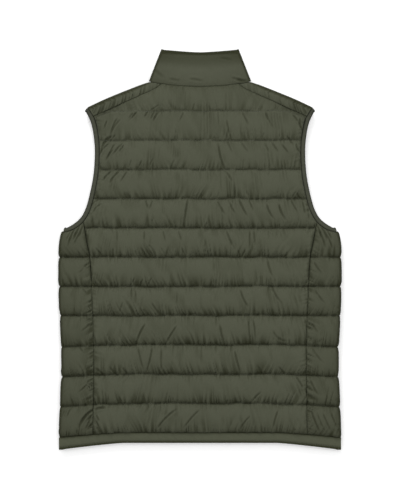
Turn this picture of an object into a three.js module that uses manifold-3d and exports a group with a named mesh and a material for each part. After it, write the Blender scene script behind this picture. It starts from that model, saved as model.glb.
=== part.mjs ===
// Quilted puffer vest, zipped up and laid flat on its front, so that its back faces up.
// Millimetres: +X to the right seen from above, +Y toward the collar, +Z up off the table.
// Each cloth piece is one padded wall: a plain inside, and quilting raised in its outer points.
import * as THREE from 'three';
import Module from 'manifold-3d';

// Layers: the back and the front lie on each other and meet at MID_Z
const LAYER_GAP = 1;
const SEAM_THICKNESS = 3;
const PUFF = 12;
const MID_Z = LAYER_GAP / 2 + SEAM_THICKNESS + PUFF;
const SEAM_GAP = 0.3;

// Quilting: stitch rows run straight across the body from the hem seam up to the yoke
const HEM_SEAM_Y = -356.7;
const QUILT_PITCH = 57.1;
const YOKE_ROW = 11;
const TOP_ROW = 12;
const ARMPIT_ROW = 7;
const YOKE_LOWEST_CHANNEL = 6;
const FULL_PUFF_HEIGHT = 0.7 * QUILT_PITCH;
const EDGE_PUFF = 0.15;
const EDGE_WIDTH = 15;

// Hem band: its corners hang lower than its middle, and pull the lowest rows down with them
const HEM_BOTTOM_Y = -377.3;
const HEM_CORNER_DROP = 13.7;
const HEM_DROP_START = 150;
const HEM_DROP_END = 277;
const HEM_DROP_CURVE = 1.2;
const HEM_FOLD_X = 263;
const HEM_FOLD = 13;
const HEM_SAG = 5;
const SAG_CURVE = 1.5;
const HEM_PULL = [0.72, 0.52, 0.42, 0.33];

// Side folds, shoulder folds and the bound armholes
const SIDE_FOLD = 14;
const SIDE_FOLD_INSIDE = 6;
const SIDE_NOTCH = 3;
const SHOULDER_FOLD = 10;
const NECK_FOLD = 4;
const SHOULDER_PUFF = 0.5;
const SHOULDER_PUFF_SPAN = [0.08, 0.92];
const SHOULDER_TURN_SPAN = 0.3;
const FOLD_INSIDE_SHARE = 0.4;
const BINDING_WIDTH = 9;
const BINDING_THICKNESS = 4;
const BINDING_BEVEL = 0.9;
const BINDING_POINTS = 26;
const BINDING_GAP = 1.2;
const BINDING_TURN = [45, 0, -45];
const TIP_ANGLE = 129;
const ARMPIT_ANGLE = -70;
const END_TURN_POINTS = 2;
const EDGE_OVERRUN = 20;
const FRONT_ARMHOLE_SCOOP = 8;

// Neck and collar
const NECK_END_X = 96;
const NECK_BACK_Y = 319.5;
const NECK_BACK_RISE = 8.8;
const NECK_FRONT_Y = 251;
const NECK_CURVE = 2.2;
const COLLAR_TOP_HALF = 71.3;
const COLLAR_BACK_TOP_Y = 385.5;
const COLLAR_TOP_RISE = 4;
const COLLAR_FRONT_TOP_Y = 323;
const COLLAR_TOP_CURVE = 1.6;
const COLLAR_SAG = 6.5;
const COLLAR_FOLD = 4.5;
const COLLAR_FOLD_ANGLE = 20;

// Front zip
const ZIP_EDGE = 8;
const TAPE_THICKNESS = 1.2;
const TAPE_SPREAD = 1;
const CHAIN_HALF_WIDTH = 3;
const CHAIN_HEIGHT = 2.2;
const CHAIN_BEVEL = 0.6;
const CHAIN_FROM_HEM = 9;
const SLIDER_Y = 304;
const NECK_SPLIT = 1.6;
const BENDS_IN_HEM = 3;
const BENDS_IN_COLLAR = 5;

// Points along each smooth line, and rounds that find where a side panel meets its binding
const LINE_POINTS = 60;
const TOP_ROUNDS = 12;

// Half outline of the body's side fold, from the hem corner up to the armpit
const SIDE_OUTLINE = [
  { x: 277.3, y: -391 },
  { x: 275.4, y: -326 },
  { x: 271.5, y: -220 },
  { x: 273.4, y: -160 },
  { x: 276.6, y: -95 },
  { x: 277.3, y: -20 },
  { x: 275.8, y: 12 },
  { x: 272, y: 38 },
];

// Outer edge of the back armhole binding, from the shoulder tip down to the armpit
const ARMHOLE_OUTLINE = [
  { x: 222.4, y: 268.6 },
  { x: 213.6, y: 249.9 },
  { x: 208, y: 224 },
  { x: 205.6, y: 190 },
  { x: 208.7, y: 144 },
  { x: 218.5, y: 97 },
  { x: 226.8, y: 73.5 },
  { x: 236, y: 60 },
  { x: 248.4, y: 50 },
  { x: 260.5, y: 43.2 },
];

// Shoulder fold from the neck to the shoulder tip, and the shoulder seam that lies below it
const SHOULDER_OUTLINE = [
  { x: 100, y: 328 },
  { x: 122.5, y: 320.5 },
  { x: 181.3, y: 296.9 },
  { x: 219.2, y: 280.3 },
];
const SHOULDER_SEAM = [
  { x: 75, y: 324.9 },
  { x: 92, y: 313.5 },
  { x: 142, y: 291.5 },
  { x: 180, y: 274 },
  { x: 207.9, y: 262.2 },
];

// Seam between the back or front panel and the side panel
const SIDE_SEAM = [
  { x: 209.5, y: -357 },
  { x: 207.6, y: -205 },
  { x: 210.5, y: -107 },
  { x: 214.5, y: -25 },
  { x: 221.7, y: 18 },
  { x: 229.5, y: 62 },
];

// Stations across one channel: where each lies, and its share of full puff on either layer
const CHANNEL = [
  { along: 0, back: 0, front: 0 },
  { along: 0.1, back: 0.52, front: 0.7 },
  { along: 0.28, back: 0.88, front: 1 },
  { along: 0.5, back: 1, front: 1 },
  { along: 0.72, back: 0.88, front: 1 },
  { along: 0.9, back: 0.52, front: 0.7 },
];

// Rows of the hem band and the collar: share of the height, and wall thickness
const HEM_ROWS = [
  { up: 0, thickness: 3 },
  { up: 0.25, thickness: 4.6 },
  { up: 0.8, thickness: 4.6 },
  { up: 1, thickness: 3 },
];
const COLLAR_ROWS = [
  { up: 0, thickness: 3 },
  { up: 0.12, thickness: 5.5 },
  { up: 0.4, thickness: 7.5 },
  { up: 0.7, thickness: 7 },
  { up: 0.92, thickness: 4.5 },
  { up: 1, thickness: 3 },
];

// Shares across a panel where its columns of points stand, closer together at the edges
const NECK_BACK_X = [0, 37, 75];
const NECK_COLUMNS = [0, 0.2, 0.5, 0.75, 0.9, 0.97];
const SHOULDER_COLUMNS = [0, 0.1, 0.3, 0.55, 0.78, 0.92, 1];
const SIDE_COLUMNS = [0, 0.3, 0.65];
const HEM_COLUMNS = [0, 0.25, 0.5, 0.7, 0.83, 0.92];
const FOLD_ANGLES = [90, 60, 30, 0, -30, -60, -90];

const lerp = THREE.MathUtils.lerp;
const radians = THREE.MathUtils.degToRad;
const smooth = (value) => THREE.MathUtils.smoothstep(value, 0, 1);

// Materials
const shell = new THREE.MeshStandardMaterial({ color: 0x4e5043, roughness: 0.5, metalness: 0 });
const trim = new THREE.MeshStandardMaterial({ color: 0x3f4137, roughness: 0.8, metalness: 0 });
const plastic = new THREE.MeshStandardMaterial({ color: 0x2b2c26, roughness: 0.5, metalness: 0 });
const metal = new THREE.MeshStandardMaterial({ color: 0x33342d, roughness: 0.4, metalness: 0.6 });

// A smooth line through the rows of a table, as closely spaced points
function smoothLine(table, count) {
  const points = table.map(({ x, y }) => new THREE.Vector2(x, y));
  return new THREE.SplineCurve(points).getSpacedPoints(count);
}

// The other coordinate of a line where one coordinate has the given value
function read(line, key, value) {
  const other = key === 'x' ? 'y' : 'x';
  const rising = line[line.length - 1][key] > line[0][key];
  let i = 0;
  while (i < line.length - 2 && line[i + 1][key] < value === rising) {
    i += 1;
  }
  const share = (value - line[i][key]) / (line[i + 1][key] - line[i][key]);
  return lerp(line[i][other], line[i + 1][other], share);
}

// Unit direction of a line at one of its points
function directionAt(line, i) {
  const ahead = line[Math.min(i + 1, line.length - 1)];
  const behind = line[Math.max(i - 1, 0)];
  return ahead.clone().sub(behind).normalize();
}

// A line moved sideways to the right of its own direction
function moved(line, distance) {
  return line.map((point, i) => {
    const direction = directionAt(line, i);
    return new THREE.Vector2(point.x + direction.y * distance, point.y - direction.x * distance);
  });
}

// A line with a straight piece added at its end
function extended(line, distance) {
  const last = line.length - 1;
  return [...line, line[last].clone().addScaledVector(directionAt(line, last), distance)];
}

// A wall between outer and inner points: faces are added to both, and the rim closes it
class Wall {
  outer = [];
  inner = [];
  outerFaces = [];
  innerFaces = [];

  // Adds one point of the wall and gives its index
  point(outer, inner) {
    this.inner.push(inner);
    return this.outer.push(outer) - 1;
  }

  // Adds the faces of a grid of points; inside rows between full ones keep only some columns
  grid(rows, keptColumns, isFull) {
    const columns = rows[0].map((_, c) => c);
    for (let r = 0; r < rows.length - 1; r += 1) {
      strip(rows[r], rows[r + 1], this.outerFaces);
      for (let k = 0; k < keptColumns.length - 1; k += 1) {
        const ends = [keptColumns[k], keptColumns[k + 1]];
        const span = columns.slice(ends[0], ends[1] + 1);
        const chosen = (row) => (isFull(row) ? span : ends).map((c) => rows[row][c]);
        strip(chosen(r), chosen(r + 1), this.innerFaces);
      }
    }
  }

  // Closed geometry: outer faces, inner faces turned over, and a rim along the open edges
  geometry() {
    const edges = new Set();
    for (const [a, b, c] of this.outerFaces) {
      edges.add(`${a} ${b}`).add(`${b} ${c}`).add(`${c} ${a}`);
    }
    const corners = [];
    for (const [a, b, c] of this.outerFaces) {
      corners.push(this.outer[a], this.outer[b], this.outer[c]);
    }
    for (const [a, b, c] of this.innerFaces) {
      corners.push(this.inner[a], this.inner[c], this.inner[b]);
    }
    for (const edge of edges) {
      const [a, b] = edge.split(' ').map(Number);
      if (!edges.has(`${b} ${a}`)) {
        corners.push(this.outer[b], this.outer[a], this.inner[a]);
        corners.push(this.outer[b], this.inner[a], this.inner[b]);
      }
    }
    return closed(corners);
  }
}

// Triangles between two chains of point indices that run the same way
function strip(lower, upper, faces) {
  let [i, j] = [0, 0];
  while (i < lower.length - 1 || j < upper.length - 1) {
    const lowerShare = (i + 1) / (lower.length - 1);
    const upperShare = (j + 1) / (upper.length - 1);
    if (j === upper.length - 1 || (i < lower.length - 1 && lowerShare <= upperShare)) {
      faces.push([lower[i], lower[i + 1], upper[j]]);
      i += 1;
    } else {
      faces.push([lower[i], upper[j + 1], upper[j]]);
      j += 1;
    }
  }
}

// Geometry from corners in threes, turned right side out by the sign of its volume
function closed(corners) {
  let volume = 0;
  for (let i = 0; i < corners.length; i += 3) {
    volume += corners[i].dot(corners[i + 1].clone().cross(corners[i + 2]));
  }
  const positions = [];
  for (let i = 0; i < corners.length; i += 3) {
    const [a, b, c] = corners.slice(i, i + 3);
    for (const corner of volume > 0 ? [a, b, c] : [a, c, b]) {
      positions.push(corner.x, corner.y, corner.z);
    }
  }
  const geometry = new THREE.BufferGeometry();
  geometry.setAttribute('position', new THREE.Float32BufferAttribute(positions, 3));
  geometry.computeVertexNormals();
  return geometry;
}

// How far the hem has dropped at a distance from the middle
function hemDrop(x) {
  const share = (Math.abs(x) - HEM_DROP_START) / (HEM_DROP_END - HEM_DROP_START);
  return HEM_CORNER_DROP * THREE.MathUtils.clamp(share, 0, 1) ** HEM_DROP_CURVE;
}

// Height on the page of a stitch row, counted from the hem seam
function quiltY(row, x) {
  return HEM_SEAM_Y + row * QUILT_PITCH - hemDrop(x) * (HEM_PULL[row] ?? 0);
}

// All rows of points across a number of channels
function channelRows(channels) {
  const rows = [];
  for (let channel = 0; channel < channels; channel += 1) {
    rows.push(...CHANNEL.map((station) => ({ channel, ...station })));
  }
  rows.push({ channel: channels - 1, along: 1, back: 0, front: 0 });
  return rows;
}

// Share of puff that is left close to a seam at the side of a panel
const edgePuff = (distance) => lerp(EDGE_PUFF, 1, smooth(distance / EDGE_WIDTH));

// Share of puff in a channel that is narrower than the rest
const channelPuff = (height) => Math.min(1, height / FULL_PUFF_HEIGHT);

// Lines that bound the panels
const sideOutline = smoothLine(SIDE_OUTLINE, LINE_POINTS);
const sideSeam = smoothLine(SIDE_SEAM, LINE_POINTS);
const shoulderSeam = smoothLine(SHOULDER_SEAM, LINE_POINTS);
const shoulderPoints = SHOULDER_OUTLINE.map(({ x, y }) => new THREE.Vector2(x, y));
const shoulderOutline = new THREE.SplineCurve(shoulderPoints);
const armholeBack = smoothLine(ARMHOLE_OUTLINE, BINDING_POINTS);
const armholeFront = armholeBack.map((point, i) => {
  const inward = moved(armholeBack, FRONT_ARMHOLE_SCOOP)[i];
  return point.clone().lerp(inward, Math.sin((Math.PI * i) / BINDING_POINTS));
});
const panelEdge = (armhole) => extended(moved(armhole, BINDING_WIDTH + BINDING_GAP), EDGE_OVERRUN);
const backEdge = panelEdge(armholeBack);
const frontEdge = panelEdge(armholeFront);

// Angle of the binding's width at one of its points: square to the armhole, and at both ends
// along the fold that it turns over
function acrossAngle(armhole, i) {
  const direction = directionAt(armhole, i);
  const square = Math.atan2(-direction.x, direction.y);
  const fromTip = Math.min(1, i / END_TURN_POINTS);
  const fromArmpit = Math.min(1, (BINDING_POINTS - i) / END_TURN_POINTS);
  const nearTip = square < 0 ? square + 2 * Math.PI : square;
  if (fromTip < 1) {
    return lerp(radians(TIP_ANGLE), nearTip, fromTip);
  }
  return lerp(radians(ARMPIT_ANGLE), square, fromArmpit);
}
const across = (angle) => new THREE.Vector2(Math.cos(angle), Math.sin(angle));

// A side panel's top edge, from the armhole's narrowest place out past the binding's turned end
function sideTop(armhole) {
  const angles = armhole.map((_, i) => acrossAngle(armhole, i));
  const edge = armhole.map((point, i) =>
    point.clone().addScaledVector(across(angles[i]), BINDING_WIDTH + BINDING_GAP),
  );
  const outward = across(angles[BINDING_POINTS] + Math.PI / 2);
  const narrowest = Math.min(...edge.map(({ x }) => x));
  const outer = edge.slice(edge.findIndex(({ x }) => x === narrowest));
  return [...outer, edge[BINDING_POINTS].clone().addScaledVector(outward, EDGE_OVERRUN)];
}

// Half width of a main panel: to the side seam, and above that to the armhole binding
const halfWidth = (edge, y) => Math.min(read(sideSeam, 'y', y) - SEAM_GAP / 2, read(edge, 'y', y));

// Neck seam on the back, and its U shape on the front
const neckBackY = (x) => NECK_BACK_Y + NECK_BACK_RISE * (x / NECK_END_X) ** 2;
function neckFrontY(x) {
  const share = (x - ZIP_EDGE) / (NECK_END_X - ZIP_EDGE);
  const depth = neckBackY(NECK_END_X) - SEAM_GAP - NECK_FRONT_Y;
  return NECK_FRONT_Y + depth * (1 - (1 - share ** NECK_CURVE) ** (1 / NECK_CURVE));
}

// The back panel's top edge: the neck seam, and outside it the shoulder seam
function backTopY(x) {
  const reach = Math.abs(x);
  const seamY = reach > SHOULDER_SEAM[0].x ? read(shoulderSeam, 'x', reach) : neckBackY(x);
  return seamY - SEAM_GAP / 2;
}

function backPanel() {
  const wall = new Wall();
  const cornerX = SHOULDER_SEAM[SHOULDER_SEAM.length - 1].x;
  const seamX = SHOULDER_COLUMNS.slice(1).map((share) => lerp(SHOULDER_SEAM[0].x, cornerX, share));
  const shares = [...NECK_BACK_X, ...seamX].map((x) => x / cornerX);
  const columns = [...shares.slice(1).reverse().map((share) => -share), ...shares];
  const lineY = (row, x) => {
    if (row === TOP_ROW) {
      return backTopY(x);
    }
    const y = quiltY(row, x) + (row === 0 ? SEAM_GAP / 2 : 0);
    return row === YOKE_ROW ? Math.min(y, backTopY(x) - YOKE_LOWEST_CHANNEL) : y;
  };
  const rows = channelRows(TOP_ROW);
  const grid = rows.map(({ channel, along, back }) => {
    const edgeY = lerp(lineY(channel, cornerX), lineY(channel + 1, cornerX), along);
    const half = channel === TOP_ROW - 1 && along === 1 ? cornerX : halfWidth(backEdge, edgeY);
    return columns.map((share) => {
      const x = share * half;
      const height = lineY(channel + 1, x) - lineY(channel, x);
      const y = lineY(channel, x) + height * along;
      const puff = PUFF * back * edgePuff(half - Math.abs(x)) * channelPuff(height);
      const insideZ = MID_Z + LAYER_GAP / 2;
      return wall.point(
        new THREE.Vector3(x, y, insideZ + SEAM_THICKNESS + puff),
        new THREE.Vector3(x, y, insideZ),
      );
    });
  });
  const firstYokeRow = (YOKE_ROW - 1) * CHANNEL.length;
  wall.grid(grid, [0, columns.length - 1], (row) => row === 0 || row >= firstYokeRow);
  return wall.geometry();
}

// Stations of a strip that lies on the back, turns over a fold and goes on underneath
function foldStations(flats) {
  const above = flats.map((flat) => ({ flat, angle: 90 }));
  const turn = FOLD_ANGLES.map((angle) => ({ flat: 1, angle }));
  const below = flats.map((flat) => ({ flat, angle: -90 })).reverse();
  return [...above, ...turn, ...below];
}

function sidePanel(side) {
  const wall = new Wall();
  const stations = foldStations(SIDE_COLUMNS);
  const placeX = ({ flat, angle }, y, reach) => {
    const seamX = read(sideSeam, 'y', y) + SEAM_GAP / 2;
    const centreX = read(sideOutline, 'y', y) - SIDE_FOLD;
    return lerp(seamX, centreX, flat) + reach * Math.cos(radians(angle));
  };
  const topY = stations.map((station) => {
    const edge = sideTop(station.angle > 0 ? armholeBack : armholeFront);
    let y = quiltY(ARMPIT_ROW, 0);
    for (let round = 0; round < TOP_ROUNDS; round += 1) {
      y = (y + read(edge, 'x', placeX(station, y, SIDE_FOLD - SIDE_NOTCH))) / 2;
    }
    return y;
  });
  const grid = channelRows(ARMPIT_ROW).map(({ channel, along, back, front }) =>
    stations.map((station, column) => {
      const roughX = placeX(station, quiltY(channel, 0), SIDE_FOLD);
      const lowerY = quiltY(channel, roughX) + (channel === 0 ? SEAM_GAP / 2 : 0);
      const upperY = channel + 1 === ARMPIT_ROW ? topY[column] : quiltY(channel + 1, roughX);
      const y = lerp(lowerY, upperY, along);
      const up = Math.sin(radians(station.angle));
      const rise = lerp(front, back, (up + 1) / 2) * channelPuff(upperY - lowerY);
      const x = placeX(station, y, SIDE_FOLD - SIDE_NOTCH * (1 - rise));
      const insideX = placeX(station, y, SIDE_FOLD_INSIDE);
      const seamDistance = x - read(sideSeam, 'y', y);
      const half = LAYER_GAP / 2 + SEAM_THICKNESS + PUFF * rise * edgePuff(seamDistance);
      return wall.point(
        new THREE.Vector3(side * x, y, MID_Z + half * up),
        new THREE.Vector3(side * insideX, y, MID_Z + (LAYER_GAP / 2) * up),
      );
    }),
  );
  const lastColumn = stations.length - 1;
  const foldStart = SIDE_COLUMNS.length;
  const kept = [0, foldStart, lastColumn / 2, lastColumn - foldStart, lastColumn];
  wall.grid(grid, kept, (row) => row === 0 || row === grid.length - 1);
  return wall.geometry();
}

// The shoulder fold's columns: where each starts underneath, and which way it turns over.
// The last one turns beside the armhole binding's end, so it runs the same way.
const shoulderTurn = radians(TIP_ANGLE) - Math.PI / 2;
const shoulderColumns = SHOULDER_COLUMNS.map((along) => {
  const outline = shoulderOutline.getPointAt(along);
  const settled = smooth(along / SHOULDER_TURN_SPAN);
  const outward = across(lerp(0, shoulderTurn, settled));
  const reach = lerp(NECK_FOLD, SHOULDER_FOLD, settled);
  const start = outline.clone().addScaledVector(outward, -reach);
  const puff = SHOULDER_PUFF * Math.sqrt(Math.sin(Math.PI * lerp(...SHOULDER_PUFF_SPAN, along)));
  return { along, outward, reach, start, puff };
});

// The front neckline's points, from the zip edge to the side of the neck
const neckColumns = NECK_COLUMNS.map((share) => {
  const x = lerp(ZIP_EDGE, NECK_END_X, share);
  return new THREE.Vector2(x, neckFrontY(x));
});

function frontPanel(side) {
  const wall = new Wall();
  const top = [...neckColumns, ...shoulderColumns.map(({ start }) => start)];
  const lastColumn = top.length - 1;
  const shares = top.map(({ x }) => (x - ZIP_EDGE) / (top[lastColumn].x - ZIP_EDGE));
  const endPuff = [...neckColumns.map(() => 0), ...shoulderColumns.map(({ puff }) => puff)];
  const lineY = (row, x, column) => {
    if (row === TOP_ROW) {
      return top[column].y;
    }
    const y = quiltY(row, x) + (row === 0 ? SEAM_GAP / 2 : 0);
    return row === YOKE_ROW ? Math.min(y, top[column].y - YOKE_LOWEST_CHANNEL) : y;
  };
  const grid = channelRows(TOP_ROW).map(({ channel, along, front }) => {
    const edgeX = top[lastColumn].x;
    const edgeLow = lineY(channel, edgeX, lastColumn);
    const edgeY = lerp(edgeLow, lineY(channel + 1, edgeX, lastColumn), along);
    const half = channel === TOP_ROW - 1 && along === 1 ? edgeX : halfWidth(frontEdge, edgeY);
    return shares.map((share, column) => {
      const x = lerp(ZIP_EDGE, half, share);
      const height = lineY(channel + 1, x, column) - lineY(channel, x, column);
      const y = lineY(channel, x, column) + height * along;
      const edges = edgePuff(half - x) * edgePuff(x - ZIP_EDGE);
      const onShoulder = channel === TOP_ROW - 1 && along >= 0.5 ? endPuff[column] : 0;
      const puff = PUFF * Math.max(front * edges * channelPuff(height), onShoulder);
      const insideZ = MID_Z - LAYER_GAP / 2;
      return wall.point(
        new THREE.Vector3(side * x, y, insideZ - SEAM_THICKNESS - puff),
        new THREE.Vector3(side * x, y, insideZ),
      );
    });
  });
  const firstYokeRow = (YOKE_ROW - 1) * CHANNEL.length;
  wall.grid(grid, [0, lastColumn], (row) => row === 0 || row >= firstYokeRow);

  // Over the shoulder: the turn, a raised row behind it, and the edge at the shoulder seam
  const turn = [...FOLD_ANGLES].reverse().slice(1).map((angle) => ({ angle, behind: 0 }));
  const over = [...turn, { angle: 90, behind: 0.5 }, { angle: 90, behind: 1 }];
  const strips = over.map(({ angle, behind }) =>
    shoulderColumns.map(({ along, outward, reach, start, puff }) => {
      const seam = seamPoint(along);
      const flat = start.clone().lerp(seam, behind);
      const up = Math.sin(radians(angle));
      const out = reach * Math.cos(radians(angle));
      const half = LAYER_GAP / 2 + SEAM_THICKNESS + PUFF * puff * (1 - behind ** 2);
      const outer = flat.clone().addScaledVector(outward, out);
      const inner = flat.clone().addScaledVector(outward, out * FOLD_INSIDE_SHARE);
      return wall.point(
        new THREE.Vector3(side * outer.x, outer.y, MID_Z + half * up),
        new THREE.Vector3(side * inner.x, inner.y, MID_Z + (LAYER_GAP / 2) * up),
      );
    }),
  );
  const firstRow = grid[grid.length - 1].slice(neckColumns.length);
  wall.grid([firstRow, ...strips], shoulderColumns.map((_, c) => c), () => true);
  return wall.geometry();
}

// A point of the front panel's edge along the shoulder seam, on the back
function seamPoint(along) {
  const first = SHOULDER_SEAM[0].x + SEAM_GAP;
  const last = SHOULDER_SEAM[SHOULDER_SEAM.length - 1].x;
  const x = lerp(first, last, along);
  const y = Math.min(read(shoulderSeam, 'x', x), neckBackY(x) - SEAM_GAP);
  return new THREE.Vector2(x, y + SEAM_GAP / 2);
}

// A band all round the body or neck, open at the zip, from columns that say where it lies
function band(columns, rows, sag, fold) {
  const wall = new Wall();
  const both = columns.map((column) => ({ ...column, side: 1 }));
  both.push(...columns.slice(0, -1).reverse().map((column) => ({ ...column, side: -1 })));
  const grid = rows.map(({ up: share, thickness }) =>
    both.map(({ side, start, end, angle, outward }) => {
      const flat = start.clone().lerp(end, share);
      const up = Math.sin(radians(angle));
      const out = fold * Math.cos(radians(angle));
      const outer = flat.clone().addScaledVector(outward, out);
      const inner = flat.clone().addScaledVector(outward, out * FOLD_INSIDE_SHARE);
      const middleZ = MID_Z - sag * share ** SAG_CURVE;
      return wall.point(
        new THREE.Vector3(side * outer.x, outer.y, middleZ + (LAYER_GAP / 2 + thickness) * up),
        new THREE.Vector3(side * inner.x, inner.y, middleZ + (LAYER_GAP / 2) * up),
      );
    }),
  );
  wall.grid(grid, both.map((_, c) => c), () => true);
  return wall.geometry();
}

function hemBand() {
  const outward = new THREE.Vector2(1, 0);
  const column = (x, angle) => {
    const outerX = x + HEM_FOLD * Math.cos(radians(angle));
    return {
      start: new THREE.Vector2(x, quiltY(0, outerX) - SEAM_GAP / 2),
      end: new THREE.Vector2(x, HEM_BOTTOM_Y - hemDrop(outerX)),
      angle,
      outward,
    };
  };
  const front = HEM_COLUMNS.map((share) => column(lerp(ZIP_EDGE, HEM_FOLD_X, share), -90));
  const turn = [...FOLD_ANGLES].reverse().map((angle) => column(HEM_FOLD_X, angle));
  const back = HEM_COLUMNS.map((share) => column(lerp(0, HEM_FOLD_X, share), 90)).reverse();
  return band([...front, ...turn, ...back], HEM_ROWS, HEM_SAG, HEM_FOLD);
}

// The collar's front top edge falls from the side folds to the zip
function collarFrontTop(share) {
  const x = lerp(ZIP_EDGE, COLLAR_TOP_HALF, share);
  const fall = COLLAR_BACK_TOP_Y + COLLAR_TOP_RISE - COLLAR_FRONT_TOP_Y;
  const rise = 1 - (1 - share ** COLLAR_TOP_CURVE) ** (1 / COLLAR_TOP_CURVE);
  return new THREE.Vector2(x, COLLAR_FRONT_TOP_Y + fall * rise);
}

function collar() {
  const angle = radians(COLLAR_FOLD_ANGLE);
  const outward = new THREE.Vector2(Math.cos(angle), Math.sin(angle));
  const front = moved(neckColumns, -SEAM_GAP).map((start, i) => ({
    start: new THREE.Vector2(Math.max(start.x, ZIP_EDGE), start.y),
    end: collarFrontTop(NECK_COLUMNS[i]),
    angle: -90,
    outward,
  }));
  const sideStart = new THREE.Vector2(NECK_END_X - SEAM_GAP, neckBackY(NECK_END_X) + SEAM_GAP);
  const sideEnd = new THREE.Vector2(COLLAR_TOP_HALF, COLLAR_BACK_TOP_Y + COLLAR_TOP_RISE);
  const turn = [...FOLD_ANGLES].reverse().map((turned) => ({
    start: sideStart,
    end: sideEnd,
    angle: turned,
    outward,
  }));
  const back = [...NECK_BACK_X].reverse().map((x) => {
    const share = x / NECK_END_X;
    const topY = COLLAR_BACK_TOP_Y + COLLAR_TOP_RISE * share ** 2;
    return {
      start: new THREE.Vector2(x, neckBackY(x) + SEAM_GAP / 2),
      end: new THREE.Vector2(COLLAR_TOP_HALF * share, topY),
      angle: 90,
      outward,
    };
  });
  return band([...front, ...turn, ...back], COLLAR_ROWS, COLLAR_SAG, COLLAR_FOLD);
}

// A closed tube of sections, each a list of points, joined in a ring or capped at both ends
function tube(sections, isRing) {
  const corners = [];
  const count = sections[0].length;
  const last = isRing ? sections.length : sections.length - 1;
  for (let i = 0; i < last; i += 1) {
    const [a, b] = [sections[i], sections[(i + 1) % sections.length]];
    for (let j = 0; j < count; j += 1) {
      const k = (j + 1) % count;
      corners.push(a[j], a[k], b[k], a[j], b[k], b[j]);
    }
  }
  if (!isRing) {
    const end = sections[sections.length - 1];
    for (let j = 1; j < count - 1; j += 1) {
      corners.push(sections[0][0], sections[0][j + 1], sections[0][j]);
      corners.push(end[0], end[j], end[j + 1]);
    }
  }
  return closed(corners);
}

function armholeBinding(side) {
  const halfWidthAcross = BINDING_WIDTH / 2;
  const halfThick = BINDING_THICKNESS / 2;
  const layerZ = LAYER_GAP / 2 + halfThick;
  const section = [
    { along: -halfWidthAcross, lift: 0 },
    { along: -halfWidthAcross + BINDING_BEVEL, lift: halfThick },
    { along: halfWidthAcross - BINDING_BEVEL, lift: halfThick },
    { along: halfWidthAcross, lift: 0 },
    { along: halfWidthAcross - BINDING_BEVEL, lift: -halfThick },
    { along: -halfWidthAcross + BINDING_BEVEL, lift: -halfThick },
  ];
  const ring = [];
  const station = (line, i, angle, heading) => {
    const widthAngle = acrossAngle(line, i);
    const inward = new THREE.Vector3(...across(widthAngle), 0);
    const turned = radians(angle);
    const level = across(widthAngle + Math.PI / 2).multiplyScalar(heading * Math.cos(turned));
    const out = new THREE.Vector3(...level, Math.sin(turned));
    const centre = new THREE.Vector3(...line[i], MID_Z)
      .addScaledVector(inward, halfWidthAcross)
      .addScaledVector(out, layerZ);
    ring.push(section.map(({ along, lift }) => {
      const corner = centre.clone().addScaledVector(inward, along).addScaledVector(out, lift);
      return new THREE.Vector3(corner.x * side, corner.y, corner.z);
    }));
  };
  armholeBack.forEach((_, i) => station(armholeBack, i, 90, 1));
  BINDING_TURN.forEach((angle) => station(armholeBack, BINDING_POINTS, angle, 1));
  [...armholeFront.keys()].reverse().forEach((i) => station(armholeFront, i, -90, 1));
  [...BINDING_TURN].reverse().forEach((angle) => station(armholeBack, 0, angle, -1));
  return tube(ring, true);
}

// Height of the front layer's inside along the zip: it sinks at the hem and in the collar
function zipZ(y) {
  const hemShare = THREE.MathUtils.clamp((y - HEM_SEAM_Y) / (HEM_BOTTOM_Y - HEM_SEAM_Y), 0, 1);
  const collarShare = Math.max(0, (y - NECK_FRONT_Y) / (COLLAR_FRONT_TOP_Y - NECK_FRONT_Y));
  const sunk = HEM_SAG * hemShare ** SAG_CURVE + COLLAR_SAG * collarShare ** SAG_CURVE;
  return MID_Z - LAYER_GAP / 2 - sunk;
}

// Places along the zip between two heights on the page, closer together where it bends
function zipStations(from, to) {
  const spaced = (low, high, count) =>
    Array.from({ length: count + 1 }, (_, i) => lerp(low, high, i / count));
  const bends = [
    ...spaced(HEM_BOTTOM_Y, HEM_SEAM_Y, BENDS_IN_HEM),
    ...spaced(NECK_FRONT_Y, COLLAR_FRONT_TOP_Y, BENDS_IN_COLLAR),
  ];
  return [from, ...bends.filter((y) => y > from && y < to), to];
}

// A bar along the zip with the same section from end to end
function zipBar(section, from, to) {
  const sections = zipStations(from, to).map((y) =>
    section.map(({ x, below }) => new THREE.Vector3(x, y, zipZ(y) - below)),
  );
  return tube(sections, false);
}

function zipTape(side) {
  const inner = SEAM_GAP / 2;
  const outer = ZIP_EDGE - SEAM_GAP;
  const along = zipStations(HEM_BOTTOM_Y, COLLAR_FRONT_TOP_Y);
  const above = along.filter((y) => y > SLIDER_Y + TAPE_SPREAD);
  const below = along.filter((y) => y < SLIDER_Y - TAPE_SPREAD);
  const stations = [...below, SLIDER_Y - TAPE_SPREAD, SLIDER_Y, ...above];
  const sections = stations.map((y) => {
    const x = y < SLIDER_Y ? inner : NECK_SPLIT;
    return [
      new THREE.Vector3(side * x, y, zipZ(y)),
      new THREE.Vector3(side * outer, y, zipZ(y)),
      new THREE.Vector3(side * outer, y, zipZ(y) - TAPE_THICKNESS),
      new THREE.Vector3(side * x, y, zipZ(y) - TAPE_THICKNESS),
    ];
  });
  return tube(sections, false);
}

// Section of a bar with bevels along its outside
function beveled(halfWide, top, height, bevel) {
  return [
    { x: -halfWide, below: top },
    { x: halfWide, below: top },
    { x: halfWide, below: top + height - bevel },
    { x: halfWide - bevel, below: top + height },
    { x: bevel - halfWide, below: top + height },
    { x: -halfWide, below: top + height - bevel },
  ];
}

function zipChain() {
  const top = TAPE_THICKNESS + SEAM_GAP;
  const section = beveled(CHAIN_HALF_WIDTH, top, CHAIN_HEIGHT, CHAIN_BEVEL);
  return zipBar(section, HEM_BOTTOM_Y + CHAIN_FROM_HEM, SLIDER_Y);
}

const wasm = await Module();
wasm.setup();

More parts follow.
